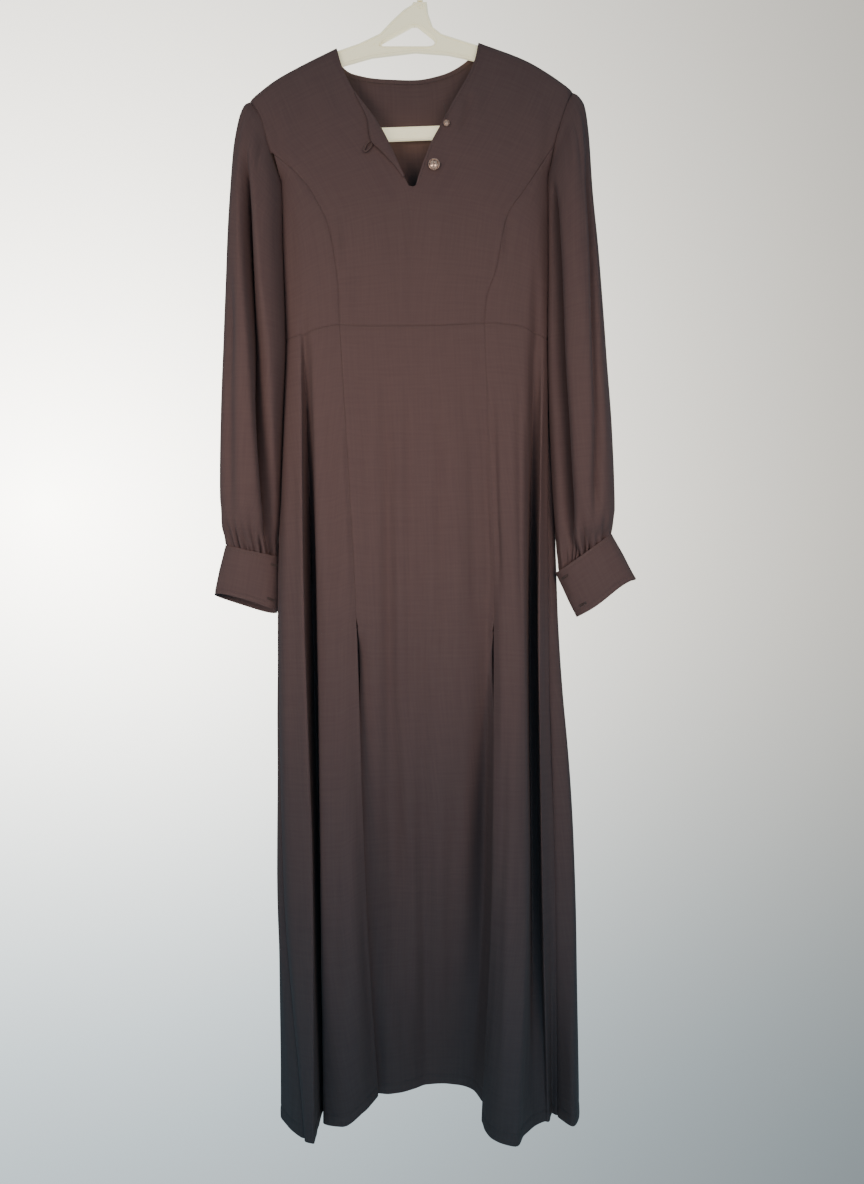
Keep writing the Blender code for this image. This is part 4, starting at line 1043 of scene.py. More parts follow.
    def build_side_front(self, name: str, node: str, princess: Line, armhole: Line, seam: Line) -> None:
        """A side front, between the princess seam and the side seam.

        Args:
            name: the piece's name.
            node: the solid it stands for.
            princess, armhole, seam: the lines round it.
        """
        share = nearest_share(armhole, princess[0])
        up = self.up_shares()
        up = up[up <= self.join_share + 1e-6] / self.join_share
        up[-1] = 1.0
        bottom = self.empire_line(seam[-1][0], princess[-1][0])
        top = reversed_line(part_of(smooth_line(armhole), share, 1.0))
        flat = coons(bottom, upward(princess), top, upward(seam), shares_for(72.0, self.step), up)
        grid = self.rolled(self.patch(flat, Face.FRONT), Face.FRONT, True, False, False, True)
        grid = grid.drawn_in(self.empire_gap, self.armhole_gap / 2, self.seam_gap, self.seam_gap / 2)
        self.room.piece(name, ((grid, False),), (node,))

    def build_back(self) -> None:
        """The back, one piece from side seam to side seam."""
        form = self.form
        left = joined(upward(form.side_seam_left), upward(form.armhole_left), self.armpit_share)
        right = joined(upward(form.side_seam_right), upward(form.armhole_right), self.armpit_share)
        start, end = self.back_neck
        neck = joined(smooth_line(form.neck_back), upward(form.shoulder_right), (end - start) / (1.0 - start))
        low_rows = np.linspace(0, self.armpit_share, 56)
        up = np.unique(np.concatenate((low_rows, np.linspace(self.armpit_share, 1, 44), [0.003, 0.996])))
        across = np.unique(np.round(np.concatenate((shares_for(360.0, self.step), self.back_neck)), 5))
        bottom = self.empire_line(form.empire[0][0], form.empire[-1][0])
        top = joined(smooth_line(form.shoulder_left), neck, start)
        flat = coons(bottom, right, top, left, across, up)
        grid = self.patch(flat, Face.BACK)
        beside = self.armhole_gap / 2
        grid = grid.drawn_in(self.empire_gap, self.shoulder_gap / 2, beside, beside)
        self.room.piece("crepe_bodice_back", ((grid, True),), ("bodice_back",))

    def neck_binding(self) -> None:
        """Under-stitching inside the back neckline and beside the right front opening."""
        form = self.form
        rows = (("back_neck", form.neck_back, Face.BACK, 6.0, 0.9),
                ("front_neck_right", form.neck_front_right, Face.FRONT, -3.0, 0.0))
        for name, line, face, beside, lift in rows:
            flat = smooth_line(line)(np.linspace(0.03, 0.97, 90))
            way = unit(np.gradient(flat, axis=0))
            at = flat + np.stack((way[:, 1], -way[:, 0]), axis=1) * beside
            y = form.depth(at[:, 0], at[:, 1], face) + face.value * self.relief(at[:, 0], at[:, 1], face)
            points = np.stack((at[:, 0], y - lift, at[:, 1]), axis=1)
            self.room.stitches(f"stitching_{name}", points, straight_out(len(points)), 2.6, 0.5, 0.5)

    def build(self) -> None:
        """Build all pieces of the bodice."""
        form = self.form
        self.build_front_centre()
        self.build_side_front("crepe_bodice_side_left", "bodice_side_front_left", form.princess_left,
                              form.armhole_left, form.side_seam_left)
        self.build_side_front("crepe_bodice_side_right", "bodice_side_front_right", form.princess_right,
                              form.armhole_right, form.side_seam_right)
        self.build_back()
        self.neck_binding()


Fold = tuple[str, float, float, float, float, float, float, float]


class SkirtPanel:
    """A panel of the skirt that hangs from the empire seam through its fold lines."""

    def __init__(self, skirt: "Skirt", table: Sequence[Fold], face: Face, centre: bool = False) -> None:
        """Read the table.

        Args:
            skirt: the skirt with its levels.
            table: name, x at the empire seam, pleat top, knee and hem, y at the last three.
            face: front or back.
            centre: whether this is the set-back middle panel.
        """
        self.skirt = skirt
        self.form = skirt.form
        self.face = face
        self.centre = centre
        self.rows = [self.fold(row) for row in table]
        middle = lengths_along(self.line_points(skirt.pleat_top))
        hem = lengths_along(self.line_points(1.0))
        self.knots = (middle + hem) / 2
        self.rings: dict[float, list[SmoothCurve]] = {}

    def fold(self, row: Fold) -> tuple[SmoothCurve, SmoothCurve, float, float]:
        """One fold line: curves of x and y down its length, and the heights of its ends."""
        skirt = self.skirt
        top_z = float(self.form.empire_curve(row[1]))
        top_y = float(self.form.depth(row[1], top_z, self.face))
        low = skirt.hem_centre_z if self.centre else skirt.hem_side_z
        if self.face is Face.FRONT:
            low = skirt.hem_height(row[4], self.centre)
        levels = (0.0, skirt.pleat_top, skirt.knee, 1.0)
        return SmoothCurve(levels, row[1:5]), SmoothCurve(levels, (top_y,) + tuple(row[5:8])), top_z, low

    def line_points(self, part: float) -> Array:
        """Where every fold line is at one part of the length."""
        return np.array([(float(x(part)), float(y(part)), top + (low - top) * part)
                         for x, y, top, low in self.rows])

    def ring(self, part: float) -> list[SmoothCurve]:
        """The panel's line across at one part of the length."""
        key = round(float(part), 6)
        if key not in self.rings:
            self.rings[key] = [SmoothCurve(self.knots, values) for values in self.line_points(part).T]
        return self.rings[key]

    def at(self, across: Array, part: float) -> Array:
        """Points of the panel; at the top it meets the bodice exactly."""
        across = np.atleast_1d(np.asarray(across, float))
        x, y, z = (axis(across) for axis in self.ring(part))
        fade = math.exp(-part / 0.07)
        if fade > 0.001:
            top_x, top_y, top_z = (axis(across) for axis in self.ring(0.0))
            height = self.form.empire_curve(top_x)
            y = y + (self.form.depth(top_x, height, self.face) - top_y) * fade
            z = z + (height - top_z) * fade
        return np.stack((x, y, z), axis=-1)

    def off(self, across: Array | float, part: float, beside: float,
            behind: Array | float) -> Array:
        """Points set off from the panel, along it and to its back."""
        across = np.atleast_1d(np.asarray(across, float))
        a = self.at(np.maximum(0.0, across - 0.004), part)
        b = self.at(np.minimum(1.0, across + 0.004), part)
        way = unit((b - a)[:, :2])
        back = np.stack((-way[:, 1], way[:, 0]), axis=1)
        points = self.at(across, part)
        points[:, :2] += way * beside + back * np.atleast_1d(behind)[:, None]
        return points

    def from_fold(self, part: float, from_end: bool, distances: Array) -> Array:
        """Places across, some way along the cloth from the fold at one end."""
        places = np.linspace(0.0, 1.0, 501)
        if from_end:
            places = places[::-1]
        return np.interp(distances, run_along(self.at(places, part)[:, :2]), places)


class CentrePanel(SkirtPanel):
    """The middle front of the skirt, whose edges hang behind the side panels' folds."""

    def __init__(self, skirt: "Skirt", table: Sequence[Fold], left: SkirtPanel, right: SkirtPanel) -> None:
        """left and right are the side panels that lap over this one."""
        self.left = left
        self.right = right
        super().__init__(skirt, table, Face.FRONT, True)

    def edge(self, panel: SkirtPanel, across: float, part: float, sign: float, behind: float,
             at_hem: float) -> Array:
        """An edge of the middle panel, set off from the side panel's fold.

        Args:
            panel: the side panel.
            across: which end of it, 0 or 1.
            part: part of the skirt's length.
            sign: 1 at the left edge, -1 at the right.
            behind, at_hem: how far behind the fold it hangs, at the knee and at the hem.

        Returns:
            The point.
        """
        skirt = self.skirt
        x, y, z = panel.at(across, part)[0]
        top = skirt.pleat_top
        opened = float(smoothstep(top, top + 0.011, part))
        tucked = float(smoothstep(top + 0.05, top + 0.2, part))
        back = 7.8 * float(smoothstep(top + 0.008, top + 0.045, part))
        back += (behind - 8.0) * float(smoothstep(top, skirt.knee, part))
        back += (at_hem - behind) * float(smoothstep(skirt.knee if behind > 8.0 else top + 0.1, 1.0, part))
        beside = skirt.seam_gap * 0.5 + 2.1 * opened - 5.5 * tucked
        if part > top:
            head = float(self.form.empire_curve(x))
            z = z + (head + (skirt.hem_centre_z - head) * part - z) * float(smoothstep(top, 0.6, part))
        return np.array((x + sign * beside, y + back, z))

    def line_points(self, part: float) -> Array:
        """The edges and the fold lines between them."""
        first = self.edge(self.left, 1.0, part, 1.0, 17.0, 20.0)
        last = self.edge(self.right, 0.0, part, -1.0, 8.0, 19.0)
        return np.concatenate((first[None], super().line_points(part), last[None]))


@dataclass
class Skirt:
    """The skirt: two side fronts that fold over a set-back middle, their underlays, the back."""

    form: BodyForm
    room: SewingRoom
    pleat_top: float = 0.375
    pleat_open: float = 0.386
    knee: float = 0.68
    hem_side_z: float = -1467.0
    hem_centre_z: float = -1455.0
    fold_lift: float = 6.0
    seam_gap: float = 0.12
    empire_gap: float = 0.1
    return_wide: float = 36.0
    return_turn: float = 3.6
    return_bend: tuple[tuple[float, float], ...] = ((0.25, 0.25), (0.35, 0.5), (0.1, 0.8), (-0.6, 1.0))
    side_return_off: tuple[float, float, float] = (4.6, 13.0, 22.0)
    centre_return_off: tuple[float, float, float] = (5.0, 6.0, 7.0)
    underlay_off: float = 3.4
    underlay_seam_off: float = 2.3
    underlay_bend: tuple[float, ...] = (3.0, 0.5, -2.2, -5.0)
    hem_deep: float = 13.0
    top_roll: float = 0.7
    top_roll_wide: float = 3.4
    side_roll: float = 2.4
    side_roll_wide: float = 4.0
    step: float = 4.0
    side_left: tuple[Fold, ...] = (
        ("side seam", -168, -176.5, -170, -137, -6, -10, -58),
        ("side turn", -163, -167, -161, -134.5, -25, -32, -64),
        ("side ridge", -148, -139.5, -128.5, -125, -42, -50, -68),
        ("under ridge", -145.5, -140.5, -130.5, -124.5, -18, -22, -34),
        ("deep valley", -142, -135, -127.5, -122, 12, 16, 9),
        ("valley wall", -137.5, -128.5, -124, -120, 0, 2, 4),
        ("panel edge", -131, -122.5, -119.5, -117.5, -35, -40, -22),
        ("panel middle", -118, -100, -95, -93, -41, -45, -31),
        ("panel turn", -108, -87, -79.5, -69, -41, -39, -18),
        ("pleat fold", -99, -77, -67.9, -53, -39, -32, 8),
    )
    centre: tuple[Fold, ...] = (
        ("left swell", -70, -56, -50, -41, -38, -6, 26),
        ("left trough", -40, -38, -34, -30, -34, 3, 28),
        ("middle swell", -14, -14, -12, -9, -40, -5, 39),
        ("middle trough", 5, 5, 6, 9, -35, 4, 51),
        ("right swell", 24, 24, 26, 28, -40, -2, 53),
        ("right plain", 50, 56, 56, 48, -37, 2, 50),
        ("right trough", 72, 82, 80, 68, -28, 17, 36),
    )
    side_right: tuple[Fold, ...] = (
        ("pleat fold", 79.6, 90.6, 88, 76.5, -32, -40, -15),
        ("panel turn", 92, 101, 96, 82, -41, -50, -46),
        ("panel middle", 107, 116, 113, 96, -42, -55, -66),
        ("panel ridge", 121, 126, 128, 113, -39, -49, -74),
        ("ridge end", 132, 131.5, 134, 125, -22, -28, -50),
        ("deep valley", 142, 138, 140.5, 142, 12, 8, -27),
        ("under ridge", 148.5, 146.5, 149.5, 154.5, -6, -8, -18),
        ("side ridge", 152.5, 145.5, 149, 158, -29, -31, -19),
        ("side hollow", 158.5, 158.5, 164, 165.5, -12, -9, 3),
        ("side seam", 160, 160.8, 167.5, 170, -8, -9, -5),
    )
    back: tuple[Fold, ...] = (
        ("side seam right", 160, 160.8, 167.5, 170, -8, -9, -5),
        ("front of side right", 161, 172, 189, 187, 1, -4, -30),
        ("side right", 160.5, 175, 194, 199, 15, 15, 10),
        ("corner right", 151, 158, 176, 186, 42, 56, 52),
        ("trough one", 124, 132, 146, 154, 36, 46, 62),
        ("swell one", 94, 106, 114, 120, 58, 80, 100),
        ("trough two", 66, 72, 78, 84, 35, 50, 76),
        ("swell two", 36, 40, 42, 45, 53, 76, 108),
        ("trough three", 6, 6, 4, 1, 38, 58, 86),
        ("swell three", -27, -30, -33, -38, 54, 75, 103),
        ("trough four", -58, -64, -68, -74, 36, 52, 74),
        ("swell four", -90, -98, -104, -110, 57, 78, 97),
        ("trough five", -119, -126, -134, -141, 40, 48, 58),
        ("corner left", -148, -155, -163, -166, 40, 47, 42),
        ("side left", -167.5, -171.5, -176, -173, 17, 14, -2),
        ("front of side left", -169, -177.8, -178, -157, 3, 0, -34),
        ("side seam left", -168, -176.5, -170, -137, -6, -10, -58),
    )
    front_creases: tuple[Crease, ...] = creases(
        (-114, -530, -106, -700, -100, -860, -2.2, 7, 90, 0.3),
        (-94, -560, -88, -720, -85, -840, 1.5, 6, 80),
        (-124, -640, -112, -820, -106, -1060, 1.8, 8, 120),
        (-106, -900, -102, -1100, -100, -1400, -3, 7, 140, 0.4),
        (-84, -1000, -80, -1200, -72, -1460, 2, 7, 120),
        (-157, -600, -152, -860, -150, -1100, -2.6, 5, 120),
        (-150, -1140, -144, -1260, -136, -1380, -2.2, 4.5, 60, 0, 46),
        (-70, -505, -64, -640, -58, -830, -1.8, 6, 80),
        (-44, -505, -40, -760, -37, -1040, -3.2, 5, 130, 0.5),
        (-27, -540, -26, -760, -24, -1000, 2.2, 6, 120),
        (-14, -505, -13, -700, -10, -1100, -3, 5, 130, -0.4),
        (-20, -1080, -14, -1200, -10, -1440, -2.6, 8, 120),
        (8, -560, 10, -860, 14, -1180, 2, 7, 130),
        (24, -505, 23, -680, 26, -980, -3, 5, 120, 0.4),
        (44, -980, 40, -1180, 36, -1440, -3, 9, 140),
        (42, -540, 44, -720, 44, -960, 1.6, 7, 110),
        (60, -560, 64, -700, 66, -900, -2.4, 7, 110, 0.4),
        (88, -530, 90, -700, 98, -850, -5, 8, 110, -0.3),
        (108, -540, 112, -700, 114, -860, 2, 7, 110),
        (112, -900, 112, -1080, 100, -1300, 2, 8, 130),
        (102, -940, 98, -1160, 88, -1440, -2.4, 7, 140, -0.3),
        (122, -520, 122, -720, 124, -900, -2, 4.5, 90),
        (156, -540, 154, -760, 158, -1020, -1.6, 3.5, 100),
        (-66, -1180, -58, -1330, -50, -1450, -2.2, 7, 70),
        (-36, -1280, -34, -1380, -30, -1455, 2.2, 8, 60),
        (8, -1240, 10, -1350, 14, -1455, -2, 6, 60),
    )
    back_creases: tuple[Crease, ...] = creases(
        (-132, -540, -140, -800, -150, -1200, 2.9, 8, 130, 0.3),
        (-106, -510, -112, -760, -120, -1100, -3, 8, 120),
        (-76, -560, -82, -900, -90, -1400, -2.9, 8, 140, 0.4),
        (-44, -520, -48, -760, -54, -1060, 2.9, 7, 120),
        (-14, -540, -14, -860, -18, -1300, -3, 8, 140, -0.3),
        (20, -510, 22, -740, 22, -1050, 2.9, 7, 110),
        (50, -560, 56, -860, 62, -1400, -3, 8, 140, 0.3),
        (80, -520, 88, -780, 98, -1120, 2.9, 7, 120),
        (110, -520, 122, -800, 134, -1260, -3, 8, 140),
        (140, -560, 150, -820, 166, -1200, 2.6, 8, 130),
        (-60, -1140, -66, -1300, -72, -1460, 2.9, 8, 100),
        (30, -1120, 30, -1300, 28, -1460, -2.9, 8, 100),
        (-130, -1160, -136, -1300, -140, -1460, -2.6, 8, 100),
    )

    def hem_height(self, x: float, centre: bool) -> float:
        """Height of the hem, a little higher at the centre front."""
        if centre:
            return self.hem_centre_z
        rise = float(smoothstep(-95.0, -53.0, x)) * (1.0 - float(smoothstep(40.0, 60.0, x)))
        return self.hem_side_z + (self.hem_centre_z + self.fold_lift - self.hem_side_z) * rise

    def parts(self) -> Array:
        """Rows down the skirt, close together at the seam, the pleat tops and the hem."""
        near = np.array([0.0, 0.0009, 0.002, 0.0035])
        high = np.linspace(0.006, self.pleat_top, 70)
        low = np.linspace(self.pleat_open, 0.984, 118)
        hem = np.array([0.9865, 0.9885, 0.991, 0.994, 0.997, 0.999, 1.0])
        return np.concatenate((near, high, [0.3805], low, hem))

    def columns(self, panel: SkirtPanel) -> Array:
        """Places across a panel."""
        hem = panel.at(np.linspace(0, 1, 300), 1.0)
        length = float(np.linalg.norm(np.diff(hem, axis=0), axis=1).sum())
        return shares_for(length, self.step)

    def relief(self, grid: ClothGrid, face: Face) -> Array:
        """Heights of the skirt's creases, ripples and stitched hem at a patch's points."""
        x, z = grid.points[..., 0], grid.points[..., 2]
        front = face is Face.FRONT
        seed = 11 if front else 17
        u = grid.grain[..., 0] + 900.0
        height = raised_by(self.front_creases if front else self.back_creases, x, z)
        height = height + ripples(u, z + 4000, seed, (0.7, 22.0, 210.0), (0.35, 10.0, 90.0))
        from_side = grid.edge_gap(False, False, True, True)
        height = height * smoothstep(0.0, 9.0, from_side)
        height = height * smoothstep(0.0, 26.0, grid.edge_gap(True, False, False, False))
        from_hem = grid.grain[-1:, :, 1] - grid.grain[..., 1]
        height = height - 0.45 * np.exp(-((from_hem - self.hem_deep) / 1.6) ** 2)
        drawn = ripple(u, z * 0 + 10.0, 9.0, 40.0, seed + 3)
        height = height + 0.5 * np.exp(-((from_hem - self.hem_deep) / 9.0) ** 2) * drawn
        height = height + 0.35 * smoothstep(self.hem_deep, self.hem_deep - 2.0, from_hem)
        return height * smoothstep(0.0, 4.0, from_side)

    def finished(self, grid: ClothGrid, face: Face, west: bool, east: bool) -> ClothGrid:
        """A patch with its creases, rolled into the empire seam and into its side seams, west and east."""
        from_top = grid.edge_gap(True, False, False, False)
        dip = -self.top_roll * np.clip(1.0 - from_top / self.top_roll_wide, 0.0, 1.0) ** 2
        if west or east:
            from_side = grid.edge_gap(False, False, west, east)
            dip = dip - self.side_roll * np.clip(1.0 - from_side / self.side_roll_wide, 0.0, 1.0) ** 1.5
        return grid.lifted(self.relief(grid, face) + dip, face)

    def hem_row(self, name: str, grid: ClothGrid, face: Face) -> Piece:
        """The row of stitches that holds the hem."""
        row = int(np.argmin(np.abs(grid.grain[-1, 0, 1] - grid.grain[:, 0, 1] - self.hem_deep)))
        out = grid.normals(face)[row]
        return self.room.stitches(name, grid.points[row], out, 3.0, 1.0, 0.44)

    def return_off(self, offsets: Triple, part: float, shares: Array) -> Array:
        """How far behind its panel a pleat's turned-in cloth hangs, from the fold to its seam."""
        full = float(SmoothCurve((self.pleat_top, self.knee, 1.0), offsets)(part))
        return self.return_turn + (full - self.return_turn) * smoothstep(0.0, 1.0, shares)

    def returns(self, panel: SkirtPanel, parts: Array, from_end: bool, offsets: Triple) -> ClothGrid:
        """A pleat's turned-in cloth, from the fold to its seam."""
        end, out = (1.0, 1.0) if from_end else (0.0, -1.0)
        shares = np.linspace(0.12, 1.0, 9)
        lines = []
        for part in parts:
            bend = [panel.off(end, part, out * beside, self.return_turn * behind)[0]
                    for beside, behind in self.return_bend]
            places = panel.from_fold(part, from_end, self.return_wide * shares)
            rest = panel.off(places, part, 0.0, self.return_off(offsets, part, shares))
            lines.append(np.concatenate((panel.at(end, part), bend, rest)))
        return ClothGrid(np.array(lines))

    def build_panel(self, name: str, node: str, panel: SkirtPanel, returns: Sequence[tuple[bool, Triple]],
                    west: float, east: float) -> ClothGrid:
        """A skirt panel with the turned-in cloth of its pleats.

        Args:
            name: the piece's name.
            node: the solid it stands for.
            panel: its form.
            returns: which ends turn in, and how far off they hang.
            west, east: how far its sides are drawn in for the seams.

        Returns:
            The panel's own patch.
        """
        parts, across = self.parts(), self.columns(panel)
        grid = ClothGrid(np.array([panel.at(across, part) for part in parts]))
        grid = grid.drawn_in(self.empire_gap, 0.0, west, east)
        opened = parts >= self.pleat_open - 1e-9
        ends = [from_end for from_end, _offsets in returns]
        for from_end in ends:
            folded = [panel.at(float(from_end), part)[0] for part in parts[opened]]
            grid.points[opened, -1 if from_end else 0] = folded
        grid = self.finished(grid, panel.face, False not in ends, True not in ends)
        over = panel.face is Face.BACK
        grids = [(grid, over)]
        for from_end, offsets in returns:
            turned = self.returns(panel, parts[opened], from_end, offsets)
            turned.points[:, 0] = grid.points[opened, -1 if from_end else 0]
            grids.append((turned, not from_end))
        hem = self.hem_row(f"stitching_hem_{name}", grid, panel.face)
        held = "gathered" if over else "hung"
        self.room.piece(f"crepe_{name}", grids, (node,), held, with_pieces=[hem])
        return grid

    def build_underlay(self, name: str, side: SkirtPanel, centre: SkirtPanel, left: bool) -> None:
        """The strip behind a pleat that joins the two turned-in edges.

        Args:
            name: the name of its solid, and of the piece after crepe_.
            side, centre: the panels whose turned-in edges it joins.
            left: whether it is the left one.
        """
        parts = self.parts()
        end, out = (0.0, -1.0) if left else (1.0, 1.0)
        shares = np.linspace(0.33, 1.0, 7)
        under = smoothstep(0.67, 1.0, shares)
        under = self.underlay_off + (self.underlay_seam_off - self.underlay_off) * under
        behind = self.return_turn + self.underlay_off
        lines = []
        for part in parts[parts >= self.pleat_open - 1e-9]:
            edges = []
            for panel, from_end, offsets in ((side, left, self.side_return_off),
                                             (centre, not left, self.centre_return_off)):
                places = panel.from_fold(part, from_end, self.return_wide * shares)
                edges.append(panel.off(places, part, 0.0, self.return_off(offsets, part, shares) + under))
            turn = [centre.off(end, part, out * reach, behind)[0] for reach in self.underlay_bend]
            lines.append(np.concatenate((edges[0][::-1], turn, edges[1])))
        self.room.piece(f"crepe_{name}", ((ClothGrid(np.array(lines)), False),), (name,))

    def pleat_stays(self, left: ClothGrid, middle: ClothGrid, right: ClothGrid) -> None:
        """The short rows of stitches that hold the pleats at their tops."""
        for name, grid, ends in (("left_outer", left, ((-120, -865), (-81, -857))),
                                 ("left_inner", middle, ((-66, -855), (-33, -854))),
                                 ("right_inner", middle, ((45, -854), (72, -854))),
                                 ("right_outer", right, ((95, -861), (111, -863)))):
            shares = np.linspace(0.0, 1.0, 14)[:, None]
            flat = np.array(ends[0]) * (1 - shares) + np.array(ends[1]) * shares
            cloud = grid.points.reshape(-1, 3)
            out = grid.normals(Face.FRONT).reshape(-1, 3)
            near = [int(np.argmin((cloud[:, 0] - x) ** 2 + (cloud[:, 2] - z) ** 2)) for x, z in flat]
            depth = np.convolve(np.pad(cloud[near, 1], 2, mode="edge"), np.ones(5) / 5, mode="valid")
            points = np.stack((flat[:, 0], depth, flat[:, 1]), axis=1)
            self.room.stitches(f"stitching_pleat_{name}", points, out[near], 2.4, 0.8, 0.4)

    def build(self) -> None:
        """Build all pieces of the skirt."""
        left = SkirtPanel(self, self.side_left, Face.FRONT)
        right = SkirtPanel(self, self.side_right, Face.FRONT)
        middle = CentrePanel(self, self.centre, left, right)
        back = SkirtPanel(self, self.back, Face.BACK)
        half = self.seam_gap / 2
        left_grid = self.build_panel("skirt_side_left", "skirt_side_front_left", left,
                                     ((True, self.side_return_off),), self.seam_gap, half)
        right_grid = self.build_panel("skirt_side_right", "skirt_side_front_right", right,
                                      ((False, self.side_return_off),), half, self.seam_gap)
        both = ((False, self.centre_return_off), (True, self.centre_return_off))
        middle_grid = self.build_panel("skirt_middle", "skirt_front_centre", middle, both, 0.05, 0.05)
        self.build_panel("skirt_back", "skirt_back", back, (), self.seam_gap, self.seam_gap)
        self.build_underlay("pleat_underlay_left", left, middle, True)
        self.build_underlay("pleat_underlay_right", right, middle, False)
        self.pleat_stays(left_grid, middle_grid, right_grid)


SleeveRow = tuple[str, float, float, float, float, float, float]


def turn_between(a: Array, b: Array | float) -> Array:
    """Smallest turn between two directions, in degrees."""
    return np.abs((a - b + 180.0) % 360.0 - 180.0)


def tube_point(section: Array, turn: Array, inward: Array | float = 0.0) -> Array:
    """Points of a sleeve section; turn 0 is outer, 90 front, 180 inner, 270 back.

    Args:
        section: outer x and z, inner x and z, half depth and centre y.
        turn: directions in degrees.
        inward: how far the cloth is drawn in.

    Returns:
        The points.
    """
    outer_x, outer_z, inner_x, inner_z, half_depth, centre_y = section
    angle = np.radians(turn)
    half_x, half_z = (outer_x - inner_x) / 2, (outer_z - inner_z) / 2
    across, forward = np.cos(angle), np.sin(angle)
    radius = np.hypot(math.hypot(half_x, half_z) * across, half_depth * forward)
    scale = 1.0 - inward / radius
    return np.stack(((outer_x + inner_x) / 2 + half_x * across * scale,
                     centre_y - half_depth * forward * scale,
                     (outer_z + inner_z) / 2 + half_z * across * scale), axis=-1)


